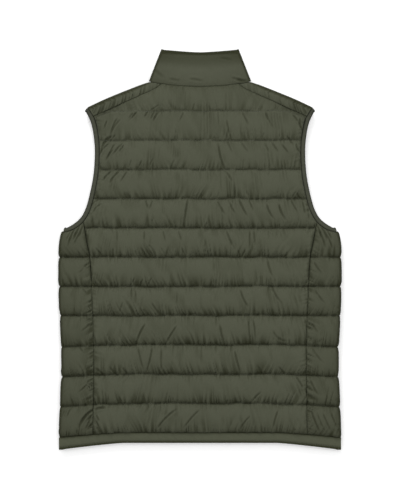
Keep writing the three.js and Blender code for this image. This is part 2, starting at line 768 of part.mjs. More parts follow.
// One solid from several overlapping closed geometries
function joined(geometries) {
  const solids = geometries.map((geometry) => {
    const flat = geometry.index ? geometry.toNonIndexed() : geometry;
    const positions = flat.attributes.position.array;
    const triVerts = Uint32Array.from({ length: positions.length / 3 }, (_, i) => i);
    const mesh = new wasm.Mesh({ numProp: 3, vertProperties: Float32Array.from(positions), triVerts });
    mesh.merge();
    return new wasm.Manifold(mesh);
  });
  const whole = solids.reduce((sum, solid) => sum.add(solid)).getMesh();
  const positions = [];
  for (const corner of whole.triVerts) {
    positions.push(...whole.vertProperties.slice(corner * whole.numProp, corner * whole.numProp + 3));
  }
  const geometry = new THREE.BufferGeometry();
  geometry.setAttribute('position', new THREE.Float32BufferAttribute(positions, 3));
  geometry.computeVertexNormals();
  return geometry;
}

// A block between two corners
function block(from, to) {
  const size = to.clone().sub(from);
  const middle = from.clone().add(to).multiplyScalar(0.5);
  return new THREE.BoxGeometry(size.x, size.y, size.z).translate(middle.x, middle.y, middle.z);
}

// A plate with round corners, lying between two heights
function plate(halfWide, fromY, toY, radius, fromZ, toZ, eye) {
  const shape = roundedOutline(new THREE.Shape(), halfWide, fromY, toY, radius);
  if (eye) {
    shape.holes.push(roundedOutline(new THREE.Path(), eye.halfWide, eye.fromY, eye.toY, eye.radius));
  }
  const options = { depth: toZ - fromZ, bevelEnabled: false, curveSegments: 3 };
  return new THREE.ExtrudeGeometry(shape, options).translate(0, 0, fromZ);
}

function roundedOutline(path, halfWide, fromY, toY, radius) {
  path.moveTo(halfWide, fromY + radius);
  path.absarc(halfWide - radius, toY - radius, radius, 0, Math.PI / 2, false);
  path.absarc(radius - halfWide, toY - radius, radius, Math.PI / 2, Math.PI, false);
  path.absarc(radius - halfWide, fromY + radius, radius, Math.PI, Math.PI * 1.5, false);
  path.absarc(halfWide - radius, fromY + radius, radius, Math.PI * 1.5, Math.PI * 2, false);
  return path;
}

// Slider: two plates on either side of the tapes, the wedge between, and a bridge for the pull
const SLIDER = { halfWide: 4.6, bottomY: -8, topY: 4, radius: 1.8, plate: 1.4, insidePlate: 1 };
const BRIDGE = { halfWide: 1.1, bottomY: -5.2, topY: 1.6, post: 1.3, clear: 1.7, bar: 1 };
const WEDGE = { halfWide: 1.1, bottomY: 0.8, topY: 3.4 };
const WELD = 0.2;
const PULL = { halfWide: 2.7, reach: 21, thickness: 1, crossbar: 1, radius: 0.45, tilt: 17.5 };
const EYE = { clearance: 0.45, length: 4.8, radius: 0.4 };
const SLOPE = { from: -9, to: 1 };
const OUTSIDE_Z = -(TAPE_THICKNESS + SEAM_GAP + CHAIN_HEIGHT + SEAM_GAP);
const PLATE_Z = OUTSIDE_Z - SLIDER.plate;
const HINGE = new THREE.Vector3(0, -1.8, PLATE_Z - BRIDGE.clear / 2);

function zipSlider() {
  const { halfWide, bottomY, topY, radius, insidePlate } = SLIDER;
  const barZ = PLATE_Z - BRIDGE.clear;
  const corner = (x, y, z) => new THREE.Vector3(x, y, z);
  return joined([
    plate(halfWide, bottomY, topY, radius, PLATE_Z, OUTSIDE_Z),
    plate(halfWide, bottomY, topY, radius, SEAM_GAP, SEAM_GAP + insidePlate),
    block(
      corner(-WEDGE.halfWide, WEDGE.bottomY, PLATE_Z + WELD),
      corner(WEDGE.halfWide, WEDGE.topY, SEAM_GAP + insidePlate - WELD),
    ),
    block(
      corner(-BRIDGE.halfWide, BRIDGE.bottomY, barZ - BRIDGE.bar),
      corner(BRIDGE.halfWide, BRIDGE.bottomY + BRIDGE.post, PLATE_Z + WELD),
    ),
    block(
      corner(-BRIDGE.halfWide, BRIDGE.topY - BRIDGE.post, barZ - BRIDGE.bar),
      corner(BRIDGE.halfWide, BRIDGE.topY, PLATE_Z + WELD),
    ),
    block(
      corner(-BRIDGE.halfWide, BRIDGE.bottomY + WELD, barZ - BRIDGE.bar),
      corner(BRIDGE.halfWide, BRIDGE.topY - WELD, barZ),
    ),
  ]);
}

// Pull tab: a plate whose eye straddles the bridge, hinged on the crossbar at its origin
function zipPull() {
  const half = PULL.thickness / 2;
  const toY = -PULL.crossbar / 2;
  const halfWide = BRIDGE.halfWide + EYE.clearance;
  const eye = { halfWide, fromY: toY - EYE.length, toY, radius: EYE.radius };
  return plate(PULL.halfWide, -PULL.reach, PULL.crossbar / 2, PULL.radius, -half, half, eye);
}

// Box that holds the zip's lower end
const BOX = { halfWide: 4, height: 3.2, bevel: 0.6, length: 8, inset: 0.5 };

function zipBox() {
  const bottom = HEM_BOTTOM_Y + BOX.inset;
  const top = TAPE_THICKNESS + SEAM_GAP;
  return zipBar(beveled(BOX.halfWide, top, BOX.height, BOX.bevel), bottom, bottom + BOX.length);
}

const vest = new THREE.Group();

// Adds one named piece to a group
function add(group, name, geometry, material) {
  const mesh = new THREE.Mesh(geometry, material);
  mesh.name = name;
  group.add(mesh);
  return mesh;
}

const SIDES = [
  { name: 'left', side: -1 },
  { name: 'right', side: 1 },
];
add(vest, 'back_panel', backPanel(), shell);
add(vest, 'collar', collar(), shell);
add(vest, 'hem_band', hemBand(), shell);
for (const { name, side } of SIDES) {
  add(vest, `${name}_front_panel`, frontPanel(side), shell);
  add(vest, `${name}_side_panel`, sidePanel(side), shell);
  add(vest, `${name}_armhole_binding`, armholeBinding(side), trim);
  add(vest, `${name}_zip_tape`, zipTape(side), trim);
}
add(vest, 'zip_chain', zipChain(), plastic);
add(vest, 'zip_box', zipBox(), plastic);

// The slider follows the slope of the collar's front, and the pull hangs from its bridge
const slider = new THREE.Group();
slider.position.set(0, SLIDER_Y, zipZ(SLIDER_Y));
const sliderRise = zipZ(SLIDER_Y + SLOPE.to) - zipZ(SLIDER_Y + SLOPE.from);
slider.rotation.x = Math.atan2(sliderRise, SLOPE.to - SLOPE.from);
add(slider, 'zip_slider', zipSlider(), metal);
const pull = add(slider, 'zip_pull', zipPull(), metal);
pull.position.copy(HINGE);
pull.rotation.x = radians(PULL.tilt);
vest.add(slider);

export default vest;
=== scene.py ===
import math

import bpy
import numpy as np
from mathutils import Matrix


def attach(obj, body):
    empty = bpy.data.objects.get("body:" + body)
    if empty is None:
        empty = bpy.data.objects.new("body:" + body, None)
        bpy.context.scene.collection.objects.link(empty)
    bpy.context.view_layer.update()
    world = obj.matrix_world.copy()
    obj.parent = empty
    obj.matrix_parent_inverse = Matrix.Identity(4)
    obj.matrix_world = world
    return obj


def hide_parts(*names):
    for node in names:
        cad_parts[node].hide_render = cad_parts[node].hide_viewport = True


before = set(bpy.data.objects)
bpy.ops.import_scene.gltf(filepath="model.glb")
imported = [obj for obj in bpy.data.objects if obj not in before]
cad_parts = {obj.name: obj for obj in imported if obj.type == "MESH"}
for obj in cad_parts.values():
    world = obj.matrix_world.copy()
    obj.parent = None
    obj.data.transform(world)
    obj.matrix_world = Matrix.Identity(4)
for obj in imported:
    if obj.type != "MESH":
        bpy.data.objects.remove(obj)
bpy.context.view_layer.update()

# Back panel: matt nylon over down, sewn through in straight rows so that it swells into channels.
# Short puckers start at every row, and longer creases run across the channels and off the
# armholes. Sizes are in millimetres, as in the CAD source, and each mesh is made in metres.
MM = 0.001
LAYER_GAP = 1.0
SEAM_THICKNESS = 3.0
PUFF = 12.0
MID_Z = LAYER_GAP / 2 + SEAM_THICKNESS + PUFF
SEAM_GAP = 0.2
HEM_SEAM_Y = -356.7
QUILT_PITCH = 57.1
CHANNELS = 12
YOKE_ROW = 11
YOKE_LOWEST_CHANNEL = 6.0
ROW_DEPTHS = {7: 0.88, 8: 0.80, 9: 0.66, 10: 0.55, 11: 0.40, 12: 0.58}
YOKE_FADE = (85.0, 125.0)
FULL_PUFF_HEIGHT = 0.7 * QUILT_PITCH
EDGE_PUFF = 0.42
LOWER_EDGE_PUFF = 0.74
EDGE_WIDTH = 8.0
LOWER_SEAM_END_Y = -90.0
LOWER_SEAM_FADE = 60.0
HEM_BOTTOM_Y = -377.3
HEM_CORNER_DROP = 13.7
HEM_DROP_START = 150.0
HEM_DROP_END = 277.0
HEM_DROP_CURVE = 1.2
HEM_PULL = {0: 0.72, 1: 0.52, 2: 0.42, 3: 0.33}
BINDING_WIDTH = 9.0
BINDING_GAP = 0.4
BINDING_POINTS = 130
NECK_BACK_Y = 319.5
NECK_BACK_RISE = 8.8
NECK_END_X = 96.0
BACK_STATIONS = 27
BACK_COLUMNS = 285
# Painted shade: strength and reach of the band above each row, the line below it, troughs and seams
BAND_SHADE = 0.68
BAND_REACH = 5.2
LINE_SHADE = 0.22
LINE_REACH = 1.1
FOLD_SHADE = 0.40
SEAM_SHADE_REACH = 1.1
PLEAT_REACH = 9.0
GATHERS_ABOVE = (5.6, 4.2, 1.4)
GATHERS_BELOW = (4.2, 4.0, 0.4)
SEAM_GATHERS = (3.2, 5.0, 0.3)
SEAM_END_FADE = 6.0
ROW_END_FADE = 1.5
CREASE_ON_SEAMS = 0.4
BACK_ROW_DRIFT = 1.3
BACK_GATHERS = 1.95
BACK_STREAKS = 0.95
BACK_SEAM_GATHERS = 1.2
COLLAR_SHADE_REACH = 9.0
SHELL_COLOUR = (0.0605, 0.0648, 0.0413)
SHELL_RUBBED = (0.0700, 0.0745, 0.0482)
SHELL_SHADED = (0.0505, 0.0547, 0.0342)
# The last shell colour is painted shade, mixed in at hollows, seams and edges
SHELL_PAINTED_SHADE = (0.0245, 0.0265, 0.0125)

SIDE_SEAM = [(209.5, -357), (207.6, -205), (210.5, -107), (214.5, -25), (221.7, 18), (229.5, 62)]
SHOULDER_SEAM = [(75, 324.9), (92, 313.5), (142, 291.5), (180, 274), (208.3, 262.0)]
ARMHOLE_OUTLINE = [
    (222.4, 268.6), (213.6, 249.9), (208, 224), (205.6, 190), (208.7, 144),
    (218.5, 97), (226.8, 73.5), (236, 60), (248.4, 50), (260.5, 43.2),
]

# Creases that stand out, each from one end to the other: x, y, x, y, depth, width, sideways bow
BACK_CREASES = [
    (-190, 286, -195, 275, 1.8, 1.5, 0), (-185, 285, -191, 271, 1.8, 1.5, 0),
    (-181, 283, -186, 273, 1.6, 1.5, 0), (-162, 256, -173, 232, 2.2, 1.7, 1),
    (-130, 268, -140, 256, 2.0, 1.6, 0), (-125, 268, -134, 256, 1.8, 1.6, 0),
    (-103, 269, -109, 259, 1.8, 1.5, 0), (-90, 268, -96, 257, 1.8, 1.5, 0),
    (-84, 268, -91, 254, 2.0, 1.6, 0), (-179, 222, -191, 205, 3.0, 1.8, 0),
    (-188, 207, -193, 190, 2.6, 1.7, 1), (-156, 205, -169, 188, 2.4, 1.7, 0),
    (-149, 204, -160, 190, 2.2, 1.6, 0), (-170, 196, -183, 176, 2.4, 1.7, 1),
    (-182, 252, -187, 238, 1.8, 1.5, 0), (188, 250, 194, 236, 1.8, 1.5, 0),
    (170, 222, 182, 206, 2.4, 1.7, 0), (160, 206, 172, 190, 2.2, 1.6, 0),
    (-157, 254, -175, 224, 2.0, 1.8, 2), (-172, 223, -189, 204, 3.2, 2.1, 1),
    (-166, 224, -178, 210, 2.0, 1.6, 0), (-179, 207, -198, 182, 2.1, 1.6, 2),
    (-166, 207, -179, 184, 1.7, 1.5, 1), (-152, 208, -162, 191, 1.5, 1.5, 0),
    (-124, 269, -140, 252, 1.7, 1.6, 0), (-81, 269, -91, 252, 1.4, 1.5, 0),
    (-32, 269, -40, 252, 1.2, 1.5, 0), (-81, 283, -98, 272, 1.2, 1.4, 0),
    (-11, 286, -15, 272, 1.2, 1.4, 0), (-134, 176, -139, 160, 1.4, 1.4, 0),
    (-113, 176, -121, 160, 1.5, 1.4, 0), (-92, 178, -99, 160, 1.4, 1.4, 1),
    (-50, 176, -58, 160, 1.2, 1.4, 0), (-158, 154, -176, 132, 2.2, 1.8, 1),
    (-173, 154, -191, 134, 2.4, 1.8, 1), (-142, 154, -155, 134, 1.8, 1.6, 0),
    (181, 264, 197, 236, 2.0, 1.8, -2), (195, 257, 203, 228, 2.7, 2.1, 3),
    (83, 268, 95, 244, 1.7, 1.6, 0), (128, 268, 141, 242, 1.8, 1.7, 1),
    (52, 254, 61, 216, 1.5, 1.6, 1), (54, 211, 63, 190, 1.2, 1.5, 0),
    (36, 206, 48, 158, 2.2, 1.8, 2), (52, 152, 63, 134, 1.8, 1.6, 0),
    (81, 209, 94, 191, 1.5, 1.5, 0), (126, 209, 135, 191, 1.5, 1.5, 0),
    (141, 209, 153, 191, 1.7, 1.5, 0), (188, 208, 199, 188, 2.4, 1.8, 3),
    (189, 112, 205, 97, 1.7, 1.7, 3), (34, 97, 49, 69, 2.0, 1.7, 1),
    (56, 97, 69, 71, 2.0, 1.7, 1), (77, 97, 92, 67, 2.1, 1.8, 1),
    (96, 97, 104, 78, 1.5, 1.5, 0), (130, 90, 145, 60, 2.1, 1.8, 2),
    (154, 88, 170, 55, 2.2, 1.9, 2), (178, 96, 190, 74, 1.7, 1.6, 0),
    (209, 90, 213, 60, 1.8, 1.6, 0), (200, 96, 205, 70, 1.7, 1.5, 0),
    (-24, 97, -31, 44, 2.5, 1.9, 1), (-107, 98, -101, 80, 1.7, 1.5, 0),
    (-92, 98, -99, 80, 1.7, 1.5, 0), (-198, 98, -214, 82, 1.8, 1.6, 3),
    (-192, 90, -209, 72, 1.5, 1.5, 3), (-162, 37, -162, 18, 1.5, 1.5, 0),
    (-109, 37, -109, 18, 1.5, 1.5, 0), (-72, 37, -68, 18, 1.7, 1.5, 0),
    (-42, 37, -36, 18, 1.7, 1.5, 0), (52, 37, 67, 3, 2.0, 1.7, 1),
    (97, 37, 97, 1, 1.8, 1.5, 0), (105, 37, 108, 4, 1.8, 1.5, 0),
    (-204, 4, -189, -13, 1.8, 1.6, 0), (-170, 3, -170, -15, 1.5, 1.5, 0),
    (-115, 4, -105, -15, 1.7, 1.6, 0), (-76, 4, -67, -15, 1.7, 1.6, 0),
    (-36, 4, -27, -15, 1.5, 1.5, 0), (74, 0, 79, -15, 1.7, 1.5, 0),
    (88, 0, 81, -15, 1.7, 1.5, 0), (-207, -59, -198, -74, 1.7, 1.5, 0),
    (-197, -59, -188, -74, 1.7, 1.5, 0), (-128, -55, -137, -73, 1.7, 1.5, 0),
    (-111, -55, -120, -73, 1.7, 1.5, 0), (-95, -55, -104, -73, 1.5, 1.5, 0),
    (-134, -77, -134, -92, 1.5, 1.4, 0), (-126, -77, -126, -92, 1.5, 1.4, 0),
    (79, -78, 94, -111, 2.0, 1.7, 2), (142, -74, 159, -103, 2.0, 1.7, 2),
    (-94, -104, -75, -129, 1.8, 1.7, 1), (-108, -146, -125, -186, 2.4, 1.9, 2),
    (-46, -149, -68, -186, 2.0, 1.8, 1), (39, -147, 48, -186, 2.2, 1.8, 1),
    (95, -137, 99, -180, 1.8, 1.5, 1), (104, -137, 108, -180, 1.8, 1.5, -1),
    (142, -157, 172, -178, 1.7, 2.0, 6), (-121, -190, -109, -239, 2.0, 1.8, 1),
    (-93, -190, -105, -239, 2.0, 1.8, -1), (-75, -192, -75, -237, 1.7, 1.6, 1),
    (68, -198, 80, -241, 2.0, 1.8, 1), (-202, -232, -187, -245, 2.1, 1.9, 0),
    (-175, -230, -164, -245, 2.1, 1.9, 0), (-152, -229, -140, -245, 2.0, 1.9, 0),
    (113, -227, 124, -245, 2.0, 1.8, 0), (154, -229, 168, -245, 2.0, 1.8, 0),
    (189, -247, 204, -271, 2.1, 1.8, 1), (118, -278, 98, -300, 2.0, 1.8, 1),
    (-186, -307, -206, -312, 3.6, 2.4, 1), (-203, -322, -197, -334, 2.2, 1.5, 0),
    (-203, -334, -197, -346, 2.0, 1.5, 0), (-48, -312, -88, -355, 2.1, 1.9, 3),
    (-1, -312, -35, -353, 1.8, 1.8, 2), (97, -325, 77, -351, 1.8, 1.8, 1),
    (152, -314, 142, -351, 1.7, 1.7, 1), (10, 20, 16, -14, 1.4, 1.7, 1),
    (132, -20, 146, -60, 1.5, 1.9, 2), (-150, -100, -158, -128, 1.4, 1.7, 1),
]


def smooth(share):
    share = np.clip(share, 0, 1)
    return share * share * (3 - 2 * share)


def mixed(low, high, share):
    return low + (high - low) * share


def run_along(line):
    """Distance from the start of a line to each of its points"""
    return np.append(0, np.cumsum(np.linalg.norm(np.diff(line, axis=0), axis=1)))


def smooth_line(table, count):
    """Evenly spaced points on a smooth curve through the table's points"""
    given = np.array(table, float)
    ends = np.vstack([given[:1], given, given[-1:]])
    t = np.linspace(0, 1, 24, endpoint=False)[:, None]
    curve = []
    for a, b, c, d in zip(ends, ends[1:], ends[2:], ends[3:]):
        bend = (2 * a - 5 * b + 4 * c - d) * t**2 + (3 * b - a - 3 * c + d) * t**3
        curve.append(0.5 * (2 * b + (c - a) * t + bend))
    curve = np.vstack([*curve, given[-1:]])
    run = run_along(curve)
    even = np.linspace(0, run[-1], count + 1)
    return np.stack([np.interp(even, run, curve[:, k]) for k in (0, 1)], 1)


def directions(line):
    """Unit direction of a line at each of its points"""
    step = np.gradient(line, axis=0)
    return step / np.linalg.norm(step, axis=1, keepdims=True)


def unit(angle):
    """Unit vectors on the page at the given angles"""
    return np.stack([np.cos(angle), np.sin(angle)], 1)


def moved(line, distance):
    """A line moved sideways to the right of its own direction"""
    along = directions(line)
    return line + distance * np.stack([along[:, 1], -along[:, 0]], 1)


def x_at(line, y):
    order = np.argsort(line[:, 1])
    return np.interp(y, line[order, 1], line[order, 0])


def y_at(line, x):
    order = np.argsort(line[:, 0])
    return np.interp(x, line[order, 0], line[order, 1])


def panel_edge(armhole):
    """The line where a panel meets its armhole binding, run on a little past the armpit"""
    edge = moved(armhole, BINDING_WIDTH + BINDING_GAP)
    return np.vstack([edge, edge[-1] + 20 * directions(edge)[-1]])


def hem_drop(x):
    share = (np.abs(x) - HEM_DROP_START) / (HEM_DROP_END - HEM_DROP_START)
    return HEM_CORNER_DROP * np.clip(share, 0, 1) ** HEM_DROP_CURVE


def quilt_y(row, x):
    """Height on the page of a stitch row, counted from the hem seam"""
    return HEM_SEAM_Y + row * QUILT_PITCH - hem_drop(x) * HEM_PULL.get(row, 0)


def wander(place, pitch, rng):
    """A smooth uneven line from -1 to 1, with its knots about a pitch apart"""
    low, high = place.min() - 2 * pitch, place.max() + 2 * pitch
    knots = low + np.cumsum(pitch * rng.uniform(0.5, 1.5, int(1.4 * (high - low) / pitch) + 8))
    values = rng.uniform(-1, 1, len(knots))
    i = np.clip(np.searchsorted(knots, place) - 1, 0, len(knots) - 2)
    share = smooth((place - knots[i]) / (knots[i + 1] - knots[i]))
    return mixed(values[i], values[i + 1], share)


def rumple(x, y, wide, high, rng):
    """Smooth uneven relief from -1 to 1, in cells of the given size"""
    u, v = (x - x.min()) / wide, (y - y.min()) / high
    lattice = rng.uniform(-1, 1, (int(u.max()) + 3, int(v.max()) + 3))
    i, j = u.astype(int), v.astype(int)
    f, g = smooth(u - i), smooth(v - j)
    lower = mixed(lattice[i, j], lattice[i + 1, j], f)
    upper = mixed(lattice[i, j + 1], lattice[i + 1, j + 1], f)
    return mixed(lower, upper, g)


def billow(value, sharpness=0.8):
    """Narrow valleys between round crests, made from a smooth uneven value"""
    return 2 * np.abs(value) ** sharpness - 1


def puckers(place, distance, reach, pitch, slant, rng):
    """Gathers that start at a line of stitches and die away from it"""
    shifted = place + slant * distance
    strength = 0.35 + 0.9 * np.abs(wander(place, 4.5 * pitch, rng))
    reach = reach * (1 + 0.45 * wander(place, 3 * pitch, rng))
    away = distance / reach
    return billow(wander(shifted, pitch, rng)) * strength * away * np.exp(1 - away)


def row_gathers(place, above, below, channel, rng, lean):
    """Gathers above and below every stitch row; their constants have reach, pitch and strength"""
    gathers = np.zeros(place.shape)
    for row in range(channel.max() + 2):
        slant = rng.uniform(-0.2, 0.2)
        strength = ROW_DEPTHS.get(row, 1.0)
        for rows, distance, (reach, pitch, share) in (
            (channel == row, above, GATHERS_ABOVE),
            (channel == row - 1, below, GATHERS_BELOW),
        ):
            if rows.any():
                tilt = slant - 0.35 * lean[rows] + 0.45 * wander(place[rows], 34.0, rng)
                shifted = place[rows] + tilt * distance[rows]
                found = puckers(shifted, distance[rows], reach, pitch, 0.0, rng)
                gathers[rows] += strength * share * found
    return gathers


def row_depths(x, channel, share, rng):
    """How deep the valleys are at each point: shallow on the yoke, and bridged here and there"""
    depths = []
    for row in range(channel.max() + 2):
        near = x[np.argmin(np.abs(channel - min(row, channel.max())))]
        depth = ROW_DEPTHS.get(row, 1.0) * (1 - 0.4 * smooth((wander(near, 7.0, rng) - 0.2) / 0.5))
        if row == YOKE_ROW:
            first, last = YOKE_FADE
            depth = depth * (1 - smooth((np.abs(near) - first) / (last - first)))
        depths.append(depth)
    depths = np.array(depths)
    return mixed(depths[channel], depths[channel + 1], smooth(share[:, None]))


def streaks(x, y, lean, rng):
    """Clusters of fine lines that run down the cloth between the rows"""
    lines = -billow(wander(x + 0.25 * lean * y, 3.0, rng), 0.6)
    return lines * np.clip(rumple(x, y, 26, 22, rng) + 0.1, 0, 1)


def shading(above, below, depth, relief):
    """Share of painted shade: a soft band above each row, a thin line below it, and more in troughs
    """
    band = BAND_SHADE * np.exp(-above / BAND_REACH) + LINE_SHADE * np.exp(-below / LINE_REACH)
    return np.clip(band * depth + FOLD_SHADE * np.clip(-relief, 0, 1.4), 0, 1)


def pleating(near_row):
    """How closely the cloth is pleated: most beside a row of stitches"""
    return 0.25 + 0.75 * np.exp(-near_row / PLEAT_REACH)


def by_height(lower, upper, y):
    """A value along a side seam, which changes between the lower part and the upper part"""
    return mixed(lower, upper, smooth((y - LOWER_SEAM_END_Y) / LOWER_SEAM_FADE))


def seam_shade(y, distance):
    """Share of painted shade in the valley along a side seam: clear near the armhole, faint below"""
    return by_height(0.1, 0.36, y) * np.exp(-distance / SEAM_SHADE_REACH)


def rim_shading(distance, reach=3.9):
    """Share of painted shade close to an outer edge, where cloth turns over a fold"""
    return np.exp(-((distance / reach) ** 4))


def crease_relief(x, y, table):
    """Depth of the main creases: a trough, with a soft ridge on either side of it"""
    relief = np.zeros_like(x)
    for x0, y0, x1, y1, depth, width, bow in table:
        reach = 4 * width + abs(bow)
        near = (x > min(x0, x1) - reach) & (x < max(x0, x1) + reach)
        near &= (y > min(y0, y1) - reach) & (y < max(y0, y1) + reach)
        length = math.hypot(x1 - x0, y1 - y0)
        run = ((x[near] - x0) * (x1 - x0) + (y[near] - y0) * (y1 - y0)) / length**2
        off = ((x[near] - x0) * (y1 - y0) - (y[near] - y0) * (x1 - x0)) / length
        inside = np.clip(run, 0, 1)
        off = (off - bow * 4 * inside * (1 - inside)) / width
        taper = smooth((run + 0.12) / 0.3) * smooth((1.2 - run) / 0.6)
        ridge = 0.45 * np.exp(-((np.abs(off) - 1.7) ** 2) / 0.7)
        relief[near] += depth * taper * (ridge - np.exp(-(off**2) * 1.2))
    return relief


def channel_places(count, stations):
    """Channel and share across it for every row of points"""
    along = np.append(np.tile(np.arange(stations) / stations, count), 1)
    channel = np.append(np.repeat(np.arange(count), stations), count - 1)
    return channel, along


def stitch_lines(points, stations):
    """The rows of a panel's points that lie along its stitches, between its first and last"""
    return list(points[stations:-1:stations])


def channel_form(along):
    """Share of full puff across a channel: steep beside the stitches, round on top"""
    return (4 * along * (1 - along)) ** 0.5


def edge_form(distance, puff=EDGE_PUFF):
    """Share of puff that is left close to the seam at the side of a panel"""
    share = np.clip(distance / EDGE_WIDTH, 0, 1)
    return puff + (1 - puff) * (1 - (1 - share) ** 2) ** 0.75


def closed(numbers):
    """A grid of point numbers with its first column once more at the end"""
    return np.column_stack([numbers, numbers[:, 0]])


def quads(numbers):
    """Faces between the neighbouring rows and columns of a grid of point numbers"""
    corners = [numbers[:-1, :-1], numbers[:-1, 1:], numbers[1:, 1:], numbers[1:, :-1]]
    return np.stack(corners, -1).reshape(-1, 4)


def triangles_between(lower, upper):
    """Triangles between two chains of point numbers that run the same way"""
    faces, i, j = [], 0, 0
    while i < len(lower) - 1 or j < len(upper) - 1:
        lower_next = (i + 1) / max(len(lower) - 1, 1)
        upper_next = (j + 1) / max(len(upper) - 1, 1)
        if j == len(upper) - 1 or (i < len(lower) - 1 and lower_next <= upper_next):
            faces.append((lower[i], lower[i + 1], upper[j]))
            i += 1
        else:
            faces.append((lower[i], upper[j + 1], upper[j]))
            j += 1
    return faces


class Cloth:
    """A closed wall of cloth: grids of outer points, a plain inside, and a rim between them"""

    def __init__(self):
        self.outer, self.inner, self.hollow, self.gathered = [], [], [], []
        self.outer_faces, self.inner_faces = [], []
        self.count = 0

    def points(self, outer, inner, hollow, gathered=0.3):
        """Adds grids of outer and inner points and gives their numbers"""
        rows, columns = outer.shape[:2]
        self.gathered.append(np.broadcast_to(gathered, (rows, columns)).reshape(-1))
        self.outer.append(outer.reshape(-1, 3))
        self.inner.append(inner.reshape(-1, 3))
        self.hollow.append(np.clip(np.broadcast_to(hollow, (rows, columns)), 0, 1).reshape(-1))
        numbers = self.count + np.arange(rows * columns).reshape(rows, columns)
        self.count += rows * columns
        return numbers

    def grid(self, numbers, kept, full_rows):
        """Adds the faces of a grid; inside, rows that aren't full keep only some columns"""
        self.outer_faces.append(quads(numbers))

        def chain(row, first, last):
            step = 1 if row in full_rows else last - first
            return numbers[row, first:last + 1:step].tolist()

        for row in range(len(numbers) - 1):
            for first, last in zip(kept, kept[1:]):
                lower, upper = chain(row, first, last), chain(row + 1, first, last)
                self.inner_faces += triangles_between(lower, upper)

    def mesh(self, name):
        """Closes the wall with its rim and makes the object"""
        outer, inner = np.vstack(self.outer), np.vstack(self.inner)
        shown = np.vstack(self.outer_faces)
        starts = shown.reshape(-1)
        ends = np.roll(shown, -1, axis=1).reshape(-1)
        total = len(outer)
        open_edges = ~np.isin(starts * total + ends, ends * total + starts)
        rim = np.stack([ends, starts, starts + total, ends + total], 1)[open_edges]
        faces = shown.tolist() + [(a + total, c + total, b + total) for a, b, c in self.inner_faces]
        faces += rim.tolist()
        points = np.vstack([outer, inner])
        used = np.unique(np.concatenate([np.array(face) for face in faces[len(shown):]]))
        used = np.union1d(used, np.arange(total))
        renumber = np.zeros(len(points), int)
        renumber[used] = np.arange(len(used))
        faces = [renumber[list(face)].tolist() for face in faces]
        points = points[used]
        a, b, c = (points[[face[k] for face in faces[:len(shown)]]] for k in range(3))
        middle = points.mean(axis=0)
        if np.einsum("ij,ij->", np.cross(b - a, c - a), a - middle) < 0:
            faces = [face[::-1] for face in faces]
        # Inside and rim points get full painted shade, so the gaps between pieces look dark
        hollow = np.concatenate([*self.hollow, np.ones(total)])[used]
        gathered = np.concatenate([*self.gathered, np.zeros(total)])[used]
        return shaped(name, points, faces, len(shown), hollow=hollow, gathered=gathered)


def placed(name, data):
    """A new object that holds the given data, linked to the scene"""
    thing = bpy.data.objects.new(name, data)
    bpy.context.scene.collection.objects.link(thing)
    return thing


def shaped(name, points, faces, smooth_faces, **attributes):
    """An object from points in millimetres; the first faces are smooth and the rest are flat"""
    mesh = bpy.data.meshes.new(name)
    mesh.from_pydata((np.asarray(points) * MM).tolist(), [], faces)
    flags = np.zeros(len(faces), bool)
    flags[:smooth_faces] = True
    mesh.polygons.foreach_set("use_smooth", flags)
    for attribute_name, values in attributes.items():
        attribute = mesh.attributes.new(attribute_name, "FLOAT", "POINT")
        attribute.data.foreach_set("value", values.astype(np.float32))
    return placed(name, mesh)


class Shade:
    """A material's node tree with one of its sockets, which takes part in sums"""

    def __init__(self, tree, socket=None):
        self.tree = tree
        self.socket = socket

    def node(self, kind, settings, sockets, output=0):
        """Adds a node, sets it up, and gives one of its outputs"""
        node = self.tree.nodes.new(kind)
        for name, value in settings.items():
            if name == "stops":
                ramp = node.color_ramp
                while len(ramp.elements) < len(value):
                    ramp.elements.new(0.5)
                for element, (place, colour) in zip(ramp.elements, value):
                    element.position = place
                    element.color = colour
            else:
                setattr(node, name, value)
        for name, value in sockets.items():
            if isinstance(value, Shade):
                self.tree.links.new(value.socket, node.inputs[name])
            else:
                node.inputs[name].default_value = value
        return Shade(self.tree, node.outputs[output])

    def math(self, operation, first, second):
        return self.node("ShaderNodeMath", {"operation": operation}, {0: first, 1: second})

    def mix(self, mask, first, second):
        """A colour between two colours"""
        return self.node(
            "ShaderNodeMix", {"data_type": "RGBA"}, {0: mask, 6: first, 7: second}, output=2
        )

    def __add__(self, other):
        return self.math("ADD", self, other)

    __radd__ = __add__

    def __mul__(self, other):
        return self.math("MULTIPLY", self, other)

    __rmul__ = __mul__

def new_material(name):
    """An empty material, its tree, and the object's own coordinates in metres"""
    material = bpy.data.materials.new(name)
    material.use_nodes = True
    material.node_tree.nodes.clear()
    tree = Shade(material.node_tree)
    place = tree.node("ShaderNodeTexCoord", {}, {}, output="Object")
    return material, tree, place


def attribute(tree, name):
    """A value from 0 to 1 that the mesh holds at each of its points"""
    return tree.node("ShaderNodeAttribute", {"attribute_name": name}, {}, output="Fac")


def noise(tree, place, scale, detail=2.0, stretch=(1, 1, 1)):
    """Smooth noise from 0 to 1, in as many cells a metre as scale says"""
    spread = tree.node("ShaderNodeMapping", {}, {"Vector": place, "Scale": stretch})
    return tree.node(
        "ShaderNodeTexNoise", {}, {"Vector": spread, "Scale": scale, "Detail": detail}
    )


def threads(tree, place, axis, pitch):
    """Rounded threads side by side along one axis, a pitch in metres apart"""
    return tree.node(
        "ShaderNodeTexWave",
        {"bands_direction": axis},
        {"Vector": place, "Scale": 2 * math.pi / (20 * pitch)},
    )


